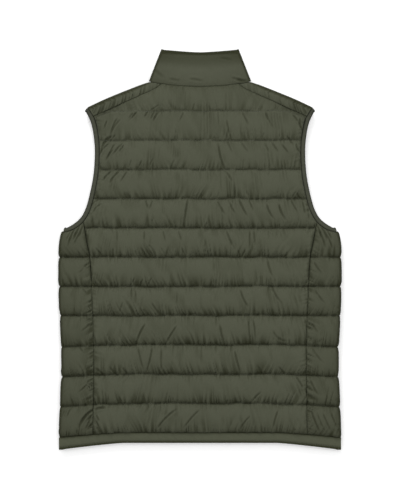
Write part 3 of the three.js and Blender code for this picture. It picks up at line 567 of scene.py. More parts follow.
def finished(material, tree, colour, roughness, height, bump_distance, **fixed):
    """Closes a material: what varies goes in by links, what doesn't is set on the shader"""
    bump = tree.node(
        "ShaderNodeBump", {}, {"Height": height, "Distance": bump_distance, "Strength": 1.0}
    )
    sockets = {"Base Color": colour, "Roughness": roughness, "Normal": bump}
    sockets.update({name.replace("_", " "): value for name, value in fixed.items()})
    shader = tree.node("ShaderNodeBsdfPrincipled", {}, sockets)
    output = tree.tree.nodes.new("ShaderNodeOutputMaterial")
    tree.tree.links.new(shader.socket, output.inputs["Surface"])
    return material


def shell_nylon(name, lightness=1.0):
    """Fine plain-woven nylon with a soft sheen, paler where it is rubbed, with painted shade in its
    hollows
    """
    material, tree, place = new_material(name)
    colours = SHELL_COLOUR, SHELL_RUBBED, SHELL_SHADED, SHELL_PAINTED_SHADE
    # A lightness other than 1 gives a lighter or darker copy of the same nylon: painted light or
    # shade
    main, rubbed, shaded, painted_shade_tone = [(*(lightness * part for part in tone), 1) for tone in colours]
    hollow = attribute(tree, "hollow")
    patches = noise(tree, place, 9.0)
    fine = noise(tree, place, 160.0, 3.0)
    crinkle = noise(tree, place, 90.0, 3.0, (1, 0.4, 1))
    gathered = attribute(tree, "gathered")
    pleats = noise(tree, place, 360.0, 2.0, (1, 0.12, 1))
    weave = threads(tree, place, "X", 0.0006) * threads(tree, place, "Y", 0.0006)
    tone = tree.mix(0.25 + 0.5 * patches, main, rubbed)
    tone = tree.mix(0.35 * fine, tone, shaded)
    # Painted shade: the mesh's shade mask darkens the colour toward the shade colour
    colour = tree.mix(hollow, tone, painted_shade_tone)
    roughness = 0.47 + 0.14 * patches + 0.35 * hollow
    height = crinkle * 0.5 + fine * 0.2 + weave * 0.05 + pleats * gathered * 2.2
    return finished(
        material, tree, colour, roughness, height, 0.0012,
        Sheen_Weight=0.005, Sheen_Roughness=0.4, Specular_IOR_Level=0.12,
    )


nylon = shell_nylon("shell_nylon")


def dress(piece, material, slot, *nodes):
    """Gives a piece its material, puts it on the vest and hides what it replaces; the slot is not
    used
    """
    piece.data.materials.append(material)
    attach(piece, "vest")
    if nodes:
        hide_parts(*nodes)


side_seam = smooth_line(SIDE_SEAM, 120)
shoulder_seam = smooth_line(SHOULDER_SEAM, 120)
armhole_back = smooth_line(ARMHOLE_OUTLINE, BINDING_POINTS)
back_edge = panel_edge(armhole_back)
TIP_X = SHOULDER_SEAM[-1][0]


def half_width(edge, y):
    return np.minimum(x_at(side_seam, y) - SEAM_GAP / 2, x_at(edge, y))


def neck_back_y(x):
    return NECK_BACK_Y + NECK_BACK_RISE * (x / NECK_END_X) ** 2


def back_top_y(x):
    reach = np.abs(x)
    beyond_neck = reach > SHOULDER_SEAM[0][0]
    return np.where(beyond_neck, y_at(shoulder_seam, reach), neck_back_y(reach)) - SEAM_GAP / 2


def seam_puckers(x, y, distance, rng):
    """Gathers along both side seams of the back; SEAM_GATHERS has a reach, a pitch and a slant"""
    place = np.where(x < 0, y, y + 1000)
    return puckers(place, distance, *SEAM_GATHERS, rng)


def back_panel(rng):
    channel, along = channel_places(CHANNELS, BACK_STATIONS)
    shares = np.linspace(-1, 1, BACK_COLUMNS)

    def line_y(row, x):
        if row == CHANNELS:
            return back_top_y(x)
        y = quilt_y(row, x) + (SEAM_GAP / 2 if row == 0 else 0)
        return np.minimum(y, back_top_y(x) - YOKE_LOWEST_CHANNEL) if row == YOKE_ROW else y

    corner = np.array([TIP_X])
    shape = (len(along), BACK_COLUMNS)
    x, low, high = np.zeros((3, *shape))
    drift = [np.zeros(BACK_COLUMNS)]
    settle = smooth((1 - np.abs(shares)) / 0.08)
    for row in range(1, CHANNELS):
        drift.append(settle * wander(shares * TIP_X, 26.0, rng) * BACK_ROW_DRIFT)
    drift.append(np.zeros(BACK_COLUMNS))
    for r, (c, share) in enumerate(zip(channel, along)):
        edge_y = mixed(line_y(c, corner), line_y(c + 1, corner), share)[0]
        half = half_width(back_edge, edge_y)
        if c == CHANNELS - 1:
            half = mixed(half, TIP_X, share)
        x[r] = shares * half
        low[r] = line_y(c, x[r]) + drift[c]
        high[r] = line_y(c + 1, x[r]) + drift[c + 1]
    share = along[:, None]
    height = high - low
    y = low + height * share
    side = np.abs(shares * x[:, -1:])
    side_distance = x[:, -1:] - side
    above, below = share * height, (1 - share) * height

    fullness = 1 + 0.07 * rumple(x, y, 48, 40, rng)
    depth = row_depths(x, channel, along, rng)
    form = 1 - depth * (1 - channel_form(share))
    edge_puff = by_height(LOWER_EDGE_PUFF, EDGE_PUFF, y)
    form = form * edge_form(side_distance, edge_puff) * np.minimum(1, height / FULL_PUFF_HEIGHT)
    lean = np.clip(x / 200, -1, 1)
    gathers = row_gathers(x, above, below, channel, rng, lean)
    creases = crease_relief(x, y, BACK_CREASES)
    folds = 0.5 * rumple(x + 0.5 * y, y, 15, 30, rng) + BACK_STREAKS * streaks(x, y, lean, rng)
    calm = np.clip(form * 1.6, 0, 1)
    near_row = np.minimum(above, below)
    seams = seam_puckers(x, y, side_distance, rng) * smooth(near_row / SEAM_END_FADE)
    relief = BACK_GATHERS * gathers + folds * calm + creases * mixed(CREASE_ON_SEAMS, 1, calm)
    relief = relief + BACK_SEAM_GATHERS * seams
    lift = np.maximum(PUFF * form * fullness + relief * smooth(near_row / ROW_END_FADE), 0)
    z = MID_Z + LAYER_GAP / 2 + SEAM_THICKNESS + lift
    inside = np.full(shape, MID_Z + LAYER_GAP / 2)
    top_channel = (channel == CHANNELS - 1)[:, None]
    # Painted shade: blotchy bands at the rows, lines along the side seams, and under the collar
    shade_blotches = 1 + 0.6 * rumple(x, y, 11, 30, rng)
    hollow = shading(above, below + 2.5 * top_channel, depth * shade_blotches, relief)
    hollow = hollow + seam_shade(y, side_distance)
    under_collar_shade = 0.22 + 0.16 * smooth((95 - np.abs(x)) / 40)
    hollow = hollow + under_collar_shade * np.exp(-below / COLLAR_SHADE_REACH) * top_channel

    cloth = Cloth()
    outer, inner = np.stack([x, y, z], -1), np.stack([x, y, inside], -1)
    numbers = cloth.points(outer, inner, hollow, pleating(near_row))
    cloth.grid(numbers, [0, BACK_COLUMNS - 1], {0, len(along) - 1})
    return cloth.mesh("back_panel_quilted"), stitch_lines(outer, BACK_STATIONS)


back, back_stitch_lines = back_panel(np.random.default_rng(11))
dress(back, nylon, "shell", "back_panel")

# Side panels: one strip of quilting down each side, which lies on the back, turns over the side
# fold and goes on underneath. Its rows meet the back's rows, and the hem corners pull them down.
SIDE_FOLD = 14.0
SIDE_FOLD_INSIDE = 6.0
SIDE_NOTCH = 3.2
SIDE_GATHERS = 1.5
SIDE_STREAKS = 0.55
# Painted shade over the whole of each side panel
SIDE_PAINTED_SHADE = 0.12
ARMPIT_ROW = 7
SIDE_STATIONS = 28
SIDE_FLATS = 34
SIDE_TURN = 17
FRONT_ARMHOLE_SCOOP = 8.0
FRONT_FLATNESS = 1.3
TIP_ANGLE = math.radians(129)
ARMPIT_ANGLE = math.radians(-70)
END_TURN_POINTS = 10
SIDE_OUTLINE = [
    (277.3, -391), (275.4, -326), (271.5, -220), (273.4, -160),
    (276.6, -95), (277.3, -20), (275.8, 12), (272, 38),
]
SIDE_CREASES = [
    (-205, -311, -235, -344, 4.2, 2.4, 5), (-212, -318, -226, -352, 1.5, 1.6, -2),
    (-211, -322, -219, -330, 2.2, 1.5, 0), (-211, -331, -219, -338, 2.2, 1.5, 0),
    (-211, -340, -219, -347, 2.2, 1.5, 0), (-254, -311, -260, -325, 1.4, 1.5, 0),
    (-259, -311, -265, -325, 1.4, 1.5, 0), (-264, -311, -269, -325, 1.4, 1.5, 0),
    (-229, 47, -236, 30, 2.2, 1.8, 0), (-236, 45, -247, 20, 3.0, 2.0, 1),
    (-244, 41, -256, 18, 2.6, 2.0, 1), (-252, 37, -261, 20, 1.8, 1.6, 0),
    (-208, -60, -214, -76, 2.0, 1.5, 0), (229, 47, 237, 24, 2.6, 1.8, -1),
    (238, 44, 249, 20, 2.4, 1.8, -1), (248, 40, 257, 22, 1.8, 1.6, 0),
    (-216, -254, -236, -276, 1.7, 1.7, -2), (-228, -200, -244, -182, 1.4, 1.7, 1),
    (-214, -140, -232, -158, 1.5, 1.7, -2), (-222, -84, -240, -66, 1.4, 1.6, 1),
    (-220, -26, -236, -44, 1.5, 1.6, -1), (-232, 34, -246, 10, 1.8, 1.8, 2),
    (-246, 30, -258, 8, 1.5, 1.6, 2), (217, -313, 234, -355, 2.1, 1.7, 1),
    (240, -318, 256, -353, 1.7, 1.5, 1), (256, -318, 270, -350, 1.5, 1.5, 1),
    (228, -316, 244, -354, 1.4, 1.4, 1), (214, -250, 230, -282, 1.7, 1.7, 1),
    (222, -196, 240, -220, 1.5, 1.7, 1), (216, -138, 230, -160, 1.5, 1.7, 1),
    (226, -80, 244, -104, 1.5, 1.7, 1), (222, -22, 238, -46, 1.7, 1.7, 1),
    (232, 36, 244, 6, 1.8, 1.8, -2), (248, 28, 258, 4, 1.5, 1.6, -1),
]

side_outline = smooth_line(SIDE_OUTLINE, 120)
scoop = np.sin(np.linspace(0, math.pi, len(armhole_back)))[:, None]
armhole_front = mixed(armhole_back, moved(armhole_back, FRONT_ARMHOLE_SCOOP), scoop)
front_edge = panel_edge(armhole_front)


def across_angles(armhole):
    """Angle of the binding's width: square to the armhole, and along the folds at its ends"""
    along = directions(armhole)
    square = np.unwrap(np.arctan2(-along[:, 0], along[:, 1]))
    square += 2 * math.pi * (square[0] < 0)
    place = np.arange(len(armhole))
    tip = np.clip(1 - place / END_TURN_POINTS, 0, 1)
    armpit = np.clip(1 - (place[-1] - place) / END_TURN_POINTS, 0, 1)
    angles = mixed(square, TIP_ANGLE, smooth(tip))
    return mixed(angles, ARMPIT_ANGLE + 2 * math.pi * (angles[-1] > math.pi), smooth(armpit))


def side_top(armhole):
    """A side panel's top edge, from the narrowest place out past the binding's turned end"""
    angles = across_angles(armhole)
    edge = armhole + (BINDING_WIDTH + BINDING_GAP) * unit(angles)
    outward = (-math.sin(angles[-1]), math.cos(angles[-1]))
    outer = edge[np.argmin(edge[:, 0]):]
    return np.vstack([outer, outer[-1] + 20 * np.array(outward)])


def side_panel(side, rng):
    channel, along = channel_places(ARMPIT_ROW, SIDE_STATIONS)
    flats = np.linspace(0, 1, SIDE_FLATS, endpoint=False)
    turn = np.linspace(90, -90, SIDE_TURN)
    flat = np.concatenate([flats, np.ones(SIDE_TURN), flats[::-1]])
    angle = np.radians(np.concatenate([0 * flats + 90, turn, 0 * flats - 90]))
    up = np.sin(angle)

    def place_x(y, reach):
        seam_x = x_at(side_seam, y) + SEAM_GAP / 2
        return mixed(seam_x, x_at(side_outline, y) - SIDE_FOLD, flat) + reach * np.cos(angle)

    top_y = np.full(len(flat), quilt_y(ARMPIT_ROW, 0.0))
    back_line, front_line = side_top(armhole_back), side_top(armhole_front)
    for _ in range(24):
        x = place_x(top_y, SIDE_FOLD - SIDE_NOTCH)
        found = np.where(angle > 0, y_at(back_line, x), y_at(front_line, x))
        top_y = mixed(top_y, found, 0.5)
    shape = (len(along), len(flat))
    low, high = np.zeros((2, *shape))
    for r, c in enumerate(channel):
        rough_x = side * place_x(quilt_y(c, 0.0), SIDE_FOLD)
        low[r] = quilt_y(c, rough_x) + (SEAM_GAP / 2 if c == 0 else 0)
        high[r] = top_y if c + 1 == ARMPIT_ROW else quilt_y(c + 1, rough_x)
    share = along[:, None]
    height = high - low
    y = low + share * height
    above, below = share * height, (1 - share) * height
    depth = row_depths(side * place_x(low, SIDE_FOLD) + 400 * (up < 0), channel, along, rng)
    form = 1 - depth * (1 - channel_form(share))
    rise = mixed(np.minimum(1, FRONT_FLATNESS * form), form, (up + 1) / 2)
    rise = rise * np.minimum(1, height / FULL_PUFF_HEIGHT)
    x = place_x(y, SIDE_FOLD - SIDE_NOTCH * (1 - rise))
    seam_distance = np.maximum(x - x_at(side_seam, y), 0)
    edge_puff = by_height(LOWER_EDGE_PUFF, EDGE_PUFF, y)
    calm = rise * edge_form(seam_distance, edge_puff)

    lean = np.full(shape, float(side))
    around = side * x + side * 3 * SIDE_FOLD * (1 - up)
    gathers = row_gathers(around, above, below, channel, rng, lean)
    folds = 0.5 * rumple(around + 0.4 * y, y, 14, 28, rng)
    folds = folds + SIDE_STREAKS * streaks(around, y, lean, rng)
    seams = 1.7 * puckers(y + 500 * (up < 0), seam_distance, 3.8, 4.2, 0.5, rng)
    creases = crease_relief(side * x, y, SIDE_CREASES) * (up > 0.2)
    near_row = np.minimum(above, below)
    relief = SIDE_GATHERS * gathers + folds * calm + creases * mixed(CREASE_ON_SEAMS, 1, calm)
    ladder = by_height(2.0, 1.1, y)
    relief = relief + ladder * seams * smooth(near_row / SEAM_END_FADE)
    relief = relief * smooth(near_row / ROW_END_FADE)
    lift = np.maximum(PUFF * calm + relief, 0)
    lift = np.where(up < 0, np.minimum(lift, PUFF), lift)
    x = x + 0.6 * np.minimum(relief, 0.8) * np.cos(angle)
    z = MID_Z + (LAYER_GAP / 2 + SEAM_THICKNESS + lift) * up
    inner_x = place_x(y, SIDE_FOLD_INSIDE)
    inner_z = np.broadcast_to(MID_Z + LAYER_GAP / 2 * up, shape)
    # Painted shade: blotchy bands at the rows, the seam line, an even darkening, and more toward the
    # fold
    shade_blotches = 1 + 0.5 * rumple(around, y, 13, 30, rng)
    hollow = shading(above, below, depth * shade_blotches, relief)
    hollow = hollow + seam_shade(y, seam_distance)
    rim_distance = x.max(axis=1, keepdims=True) - x
    side_rim_shade = 0.2 * np.exp(-rim_distance / 12) + rim_shading(rim_distance, 4.4)
    hollow = hollow + SIDE_PAINTED_SHADE + side_rim_shade

    cloth = Cloth()
    outer, inner = np.stack([side * x, y, z], -1), np.stack([side * inner_x, y, inner_z], -1)
    numbers = cloth.points(outer, inner, hollow, pleating(near_row))
    last = len(flat) - 1
    kept = [0, SIDE_FLATS, last // 2, last - SIDE_FLATS, last]
    cloth.grid(numbers, kept, {0, len(along) - 1})
    return cloth.mesh(f"{SIDE_NAMES[side]}_side_quilted"), stitch_lines(outer, SIDE_STATIONS)


SIDE_NAMES = {-1: "left", 1: "right"}
side_stitch_lines = []
for side in SIDE_NAMES:
    panel, lines = side_panel(side, np.random.default_rng(30 + side))
    dress(panel, nylon, "shell", f"{SIDE_NAMES[side]}_side_panel")
    side_stitch_lines += lines

# Front panels: quilted like the back, and pressed flat where they lie on the table. Each turns
# over its shoulder and is sewn to the back along the shoulder seam, so its edge shows there.
ZIP_EDGE = 8.0
NECK_FRONT_Y = 251.0
NECK_CURVE = 2.2
NECK_FOLD = 4.0
SHOULDER_FOLD = 10.0
SHOULDER_PUFF = 0.5
FOLD_INSIDE_SHARE = 0.4
FRONT_STATIONS = 22
FRONT_GATHERS = 1.3
FRONT_STREAKS = 0.35
FRONT_SEAM_GATHERS = 0.9
NECK_POINTS = 30
SHOULDER_POINTS = 130
SHOULDER_OUTLINE = [(100, 328), (122.5, 320.5), (181.3, 296.9), (220.4, 278.7)]
FRONT_CREASES = [
    (60, 240, 72, 214, 1.7, 1.7, 1), (150, 222, 168, 196, 2.1, 1.9, 2),
    (178, 200, 192, 178, 2.1, 1.8, 2), (40, 180, 52, 156, 1.5, 1.6, 1),
    (120, 150, 132, 118, 1.8, 1.8, 2), (70, 96, 80, 62, 1.8, 1.7, -1),
    (176, 92, 190, 66, 1.8, 1.8, 2), (34, 36, 42, 4, 1.7, 1.6, 1),
    (140, 34, 156, 4, 2.0, 1.8, 2), (92, -20, 84, -58, 1.7, 1.7, 1),
    (186, -24, 200, -60, 1.7, 1.7, 1), (50, -78, 62, -112, 1.8, 1.7, 2),
    (128, -80, 142, -118, 1.8, 1.8, 2), (88, -136, 76, -176, 2.0, 1.8, 1),
    (170, -140, 188, -170, 1.8, 1.8, 2), (30, -194, 40, -236, 1.8, 1.7, 1),
    (112, -196, 126, -232, 1.8, 1.8, 2), (70, -250, 80, -292, 2.0, 1.8, 1),
    (160, -252, 178, -290, 1.8, 1.8, 2), (48, -310, 40, -350, 1.8, 1.7, 1),
    (134, -308, 150, -350, 2.0, 1.8, 2),
]


def neck_front_y(x):
    share = (x - ZIP_EDGE) / (NECK_END_X - ZIP_EDGE)
    depth = neck_back_y(NECK_END_X) - SEAM_GAP - NECK_FRONT_Y
    return NECK_FRONT_Y + depth * (1 - (1 - share**NECK_CURVE) ** (1 / NECK_CURVE))


neck_x = mixed(ZIP_EDGE, NECK_END_X, np.linspace(0, 0.97, NECK_POINTS))
neck_line = np.stack([neck_x, neck_front_y(neck_x)], 1)
shoulder_along = np.linspace(0, 1, SHOULDER_POINTS)
settled = smooth(shoulder_along / 0.3)
turn_angle = settled * (TIP_ANGLE - math.pi / 2)
shoulder_reach = mixed(NECK_FOLD, SHOULDER_FOLD, settled)
shoulder_outward = unit(turn_angle)
shoulder_line = smooth_line(SHOULDER_OUTLINE, SHOULDER_POINTS - 1)
shoulder_start = shoulder_line - shoulder_outward * shoulder_reach[:, None]
shoulder_puff = SHOULDER_PUFF * np.sin(math.pi * mixed(0.08, 0.92, shoulder_along)) ** 0.5
seam_x = mixed(SHOULDER_SEAM[0][0] + SEAM_GAP, TIP_X, shoulder_along)
seam_y = np.minimum(y_at(shoulder_seam, seam_x), neck_back_y(seam_x) - SEAM_GAP) + SEAM_GAP / 2
shoulder_edge = np.stack([seam_x, seam_y], 1)
binding_inner = armhole_back + BINDING_WIDTH * unit(across_angles(armhole_back))


def front_panel(side, rng):
    channel, along = channel_places(CHANNELS, FRONT_STATIONS)
    top = np.vstack([neck_line, shoulder_start])
    shares = (top[:, 0] - ZIP_EDGE) / (top[-1, 0] - ZIP_EDGE)
    end_puff = np.concatenate([np.zeros(NECK_POINTS), shoulder_puff])

    def line_y(row, x, columns=slice(None)):
        if row == CHANNELS:
            return top[columns, 1]
        y = quilt_y(row, side * x) + (SEAM_GAP / 2 if row == 0 else 0)
        return np.minimum(y, top[columns, 1] - YOKE_LOWEST_CHANNEL) if row == YOKE_ROW else y

    corner = slice(-1, None)
    shape = (len(along), len(top))
    x, low, high = np.zeros((3, *shape))
    for r, (c, share) in enumerate(zip(channel, along)):
        low_y, high_y = (line_y(row, top[corner, 0], corner)[0] for row in (c, c + 1))
        half = half_width(front_edge, mixed(low_y, high_y, share))
        if c == CHANNELS - 1:
            half = mixed(half, top[-1, 0], share)
        x[r] = mixed(ZIP_EDGE, half, shares)
        low[r], high[r] = line_y(c, x[r]), line_y(c + 1, x[r])
    share = along[:, None]
    height = high - low
    y = low + height * share
    above, below = share * height, (1 - share) * height
    side_distance, zip_distance = x[:, -1:] - x, x - ZIP_EDGE
    edges = edge_form(side_distance) * edge_form(zip_distance)
    depth = row_depths(side * x, channel, along, rng)
    form = np.minimum(1, FRONT_FLATNESS * (1 - depth * (1 - channel_form(share))))
    form = form * edges * np.minimum(1, height / FULL_PUFF_HEIGHT)
    on_shoulder = smooth((share - 0.4) / 0.6) * (channel == CHANNELS - 1)[:, None] * end_puff
    lean = np.clip(x / 200, -1, 1) * side
    gathers = row_gathers(side * x, above, below, channel, rng, lean)
    folds = 0.5 * rumple(x + 0.5 * y, y, 15, 30, rng) + FRONT_STREAKS * streaks(x, y, lean, rng)
    seams = puckers(y, side_distance, *SEAM_GATHERS, rng)
    seams = seams + puckers(y, zip_distance, 3.2, 5.0, 0.2, rng)
    creases = crease_relief(x, y, FRONT_CREASES)
    near_row = np.minimum(above, below)
    relief = FRONT_GATHERS * gathers + folds * form + creases * (0.25 + 0.75 * form)
    relief = relief + FRONT_SEAM_GATHERS * seams * smooth(near_row / SEAM_END_FADE)
    relief = relief * smooth(near_row / ROW_END_FADE)
    lift = np.maximum(np.maximum(PUFF * form + relief, 0), PUFF * on_shoulder)
    z = MID_Z - LAYER_GAP / 2 - SEAM_THICKNESS - np.minimum(lift, PUFF)
    inside = np.full(shape, MID_Z - LAYER_GAP / 2)

    cloth = Cloth()
    points, inner = np.stack([side * x, y, z], -1), np.stack([side * x, y, inside], -1)
    # Painted shade at the rows and in the troughs of the relief
    hollow = shading(above, below, depth, relief)
    numbers = cloth.points(points, inner, hollow, pleating(near_row))
    cloth.grid(numbers, [0, len(top) - 1], {0, len(along) - 1})

    turned = np.radians(np.linspace(-90, 90, 15)[1:])
    strip = np.linspace(0, 1, 15)[1:]
    angle = np.concatenate([turned, np.full(len(strip), math.pi / 2)])[:, None]
    behind = np.concatenate([0 * turned, strip])[:, None]
    flat = mixed(shoulder_start[None], shoulder_edge[None], behind[..., None])
    to_binding = x_at(binding_inner, flat[:, -1:, 1]) - SEAM_GAP - flat[:, -1:, 0]
    to_binding = to_binding * (1 - np.cos(angle)) * smooth((shoulder_along - 0.9) / 0.1)
    flat[..., 0] += to_binding
    out = shoulder_reach * np.cos(angle)
    run = shoulder_along[None] * 150 + 0 * behind
    strip_width = np.linalg.norm(shoulder_start - shoulder_edge, axis=1)[None]
    seam_distance = (1 - behind) * strip_width
    hatched = puckers(run + 1.2 * seam_distance, seam_distance + 3, 8.0, 4.0, 0.0, rng)
    patches = 0.6 * billow(rumple(run + 1.1 * seam_distance, seam_distance, 6, 26, rng))
    wrinkles = mixed(1.4, 3.0, shoulder_along) * hatched + patches
    wrinkles = wrinkles * smooth((1 - shoulder_along) / 0.04)
    body = PUFF * shoulder_puff * (1 - 0.25 * behind**2)
    half = LAYER_GAP / 2 + SEAM_THICKNESS + np.maximum(body + wrinkles * np.sin(angle), 0)
    outer = flat + shoulder_outward[None] * out[..., None]
    inner = flat + shoulder_outward[None] * out[..., None] * FOLD_INSIDE_SHARE
    outer_z = MID_Z + half * np.sin(angle)
    inner_z = np.broadcast_to(MID_Z + LAYER_GAP / 2 * np.sin(angle), outer_z.shape)
    rim_distance = shoulder_reach * (1 - np.cos(angle)) + behind * strip_width
    # Painted shade along the shoulder seam, unevenly, over the turned edge and in wrinkle troughs
    patchy = 0.55 + 0.45 * wander(run, 14.0, rng)
    strip_shade = 0.34 * patchy * np.exp(-seam_distance / 3.5) + rim_shading(rim_distance, 7.2)
    strip_shade = strip_shade + 0.3 * np.clip(-wrinkles, 0, 1.4)
    over = cloth.points(
        np.stack([side * outer[..., 0], outer[..., 1], outer_z], -1),
        np.stack([side * inner[..., 0], inner[..., 1], inner_z], -1),
        strip_shade,
    )
    joined = np.vstack([numbers[-1:, NECK_POINTS:], over])
    cloth.grid(joined, list(range(SHOULDER_POINTS)), set(range(len(joined))))
    return cloth.mesh(f"{SIDE_NAMES[side]}_front_quilted"), stitch_lines(points, FRONT_STATIONS)


front_stitch_lines = []
for side in SIDE_NAMES:
    panel, lines = front_panel(side, np.random.default_rng(50 + side))
    dress(panel, nylon, "shell", f"{SIDE_NAMES[side]}_front_panel")
    front_stitch_lines += lines

# Hem band: a folded strip of the same nylon without down, stitched along its lower edge. It runs
# all round, hangs lower at the corners than in the middle, and sinks toward the table.
HEM_WIDTH = HEM_SEAM_Y - HEM_BOTTOM_Y
HEM_SAG = 5.0
SAG_CURVE = 1.5
HEM_FOLD = 13.0
HEM_FOLD_X = 263.0
HEM_STITCH_INSET = 4.0
HEM_ROWS = 20
HEM_FRONT_POINTS = 120
HEM_TURN_POINTS = 15


def band(cloth, start, end, angle, outward, up, thickness, sag, fold):
    """Outer and inner points of half of a band round the body or neck, mirrored for the other half
    """
    both = [np.concatenate([part, part[-2::-1]]) for part in (start, end, angle, outward)]
    start, end, angle, outward = both
    side = np.where(np.arange(len(angle)) < (len(angle) + 1) // 2, 1, -1)
    flat = mixed(start[None], end[None], up[:, None, None])
    out = fold * np.cos(angle)
    outer = flat + outward * out[:, None]
    inner = flat + outward * out[:, None] * FOLD_INSIDE_SHARE
    middle = MID_Z - sag * up[:, None] ** SAG_CURVE
    outer_z = middle + (LAYER_GAP / 2 + thickness) * np.sin(angle)
    inner_z = middle + LAYER_GAP / 2 * np.sin(angle)
    return (
        np.stack([side * outer[..., 0], outer[..., 1], outer_z], -1),
        np.stack([side * inner[..., 0], inner[..., 1], inner_z], -1),
    )


def hem_band(rng):
    front_x = mixed(ZIP_EDGE, HEM_FOLD_X, np.linspace(0, 1, HEM_FRONT_POINTS, endpoint=False))
    back_x = np.linspace(HEM_FOLD_X, 0, HEM_FRONT_POINTS)[1:]
    x = np.concatenate([front_x, np.full(HEM_TURN_POINTS, HEM_FOLD_X), back_x])
    turn = np.linspace(-90, 90, HEM_TURN_POINTS)
    angle = np.radians(np.concatenate([0 * front_x - 90, turn, 0 * back_x + 90]))
    outer_x = x + HEM_FOLD * np.cos(angle)
    start = np.stack([x, quilt_y(0, outer_x) - SEAM_GAP / 2], 1)
    end = np.stack([x, HEM_BOTTOM_Y - hem_drop(outer_x)], 1)
    outward = np.tile([1.0, 0.0], (len(x), 1))
    up = np.linspace(0, 1, HEM_ROWS)
    columns = 2 * len(x) - 1
    run = np.arange(columns)[None] * 2.3 + 0 * up[:, None]
    fall = up[:, None] * HEM_WIDTH + 0 * run
    plump = 3 + 1.8 * np.sin(math.pi * np.clip(up, 0.02, 0.98)) ** 0.5
    stitch_dip = 0.9 * np.exp(-(((1 - up) * HEM_WIDTH - HEM_STITCH_INSET) / 1.1) ** 2)
    relief = 0.75 * puckers(run, fall, 4.5, 5.0, 0.2, rng)
    relief = relief + 0.35 * billow(rumple(run + fall, fall, 9, 30, rng))
    thickness = (plump - stitch_dip)[:, None] + relief * np.sin(math.pi * up)[:, None]
    cloth = Cloth()
    outer, inner = band(cloth, start, end, angle, outward, up, thickness, HEM_SAG, HEM_FOLD)
    # Painted shade along the seam at the band's top, along its lower edge and in its stitched groove
    hollow = np.maximum(np.exp(-up * HEM_WIDTH / 2.2), rim_shading((1 - up) * HEM_WIDTH, 5.0))
    hollow = np.maximum(hollow, 0.5 * stitch_dip)
    numbers = cloth.points(outer, inner, hollow[:, None])
    cloth.grid(numbers, list(range(columns)), set(range(HEM_ROWS)))
    stitch_row = int(round((1 - HEM_STITCH_INSET / HEM_WIDTH) * (HEM_ROWS - 1)))
    return cloth.mesh("hem_band_folded"), outer[stitch_row]


hem, hem_stitch_line = hem_band(np.random.default_rng(70))
# The hem's nylon is the shell nylon painted lighter, which is painted light
dress(hem, shell_nylon("hem_nylon", 1.24), "shell", "hem_band")

# Collar: a stand of lightly padded nylon, smooth outside, with a stitched edge along its top. It
# is pressed flat too, so its front half lies under its back half.
COLLAR_TOP_HALF = 71.3
COLLAR_BACK_TOP_Y = 386.7
COLLAR_TOP_RISE = 5.0
COLLAR_FRONT_TOP_Y = 323.0
COLLAR_TOP_CURVE = 1.6
COLLAR_SAG = 6.5
COLLAR_FOLD = 4.5
COLLAR_FOLD_ANGLE = math.radians(20)
COLLAR_ROWS = 44
COLLAR_HEIGHT = 66.0
COLLAR_EDGE_INSET = 6.0
COLLAR_THICKNESS = [(0, 7.0), (0.1, 7.2), (0.4, 7.6), (0.7, 7.0), (0.92, 4.8), (1, 3.2)]
COLLAR_CREASES = [
    (73, 333, 92, 330, 2.0, 2.6, 1), (62, 336, 82, 331, 1.4, 2.4, 0),
    (-88, 352, -70, 336, 1.2, 3.0, 1), (-20, 334, 6, 330, 1.2, 2.6, 0),
    (-60, 334, -40, 330, 1.2, 2.6, 0), (40, 376, 64, 371, 1.0, 2.6, 0),
]


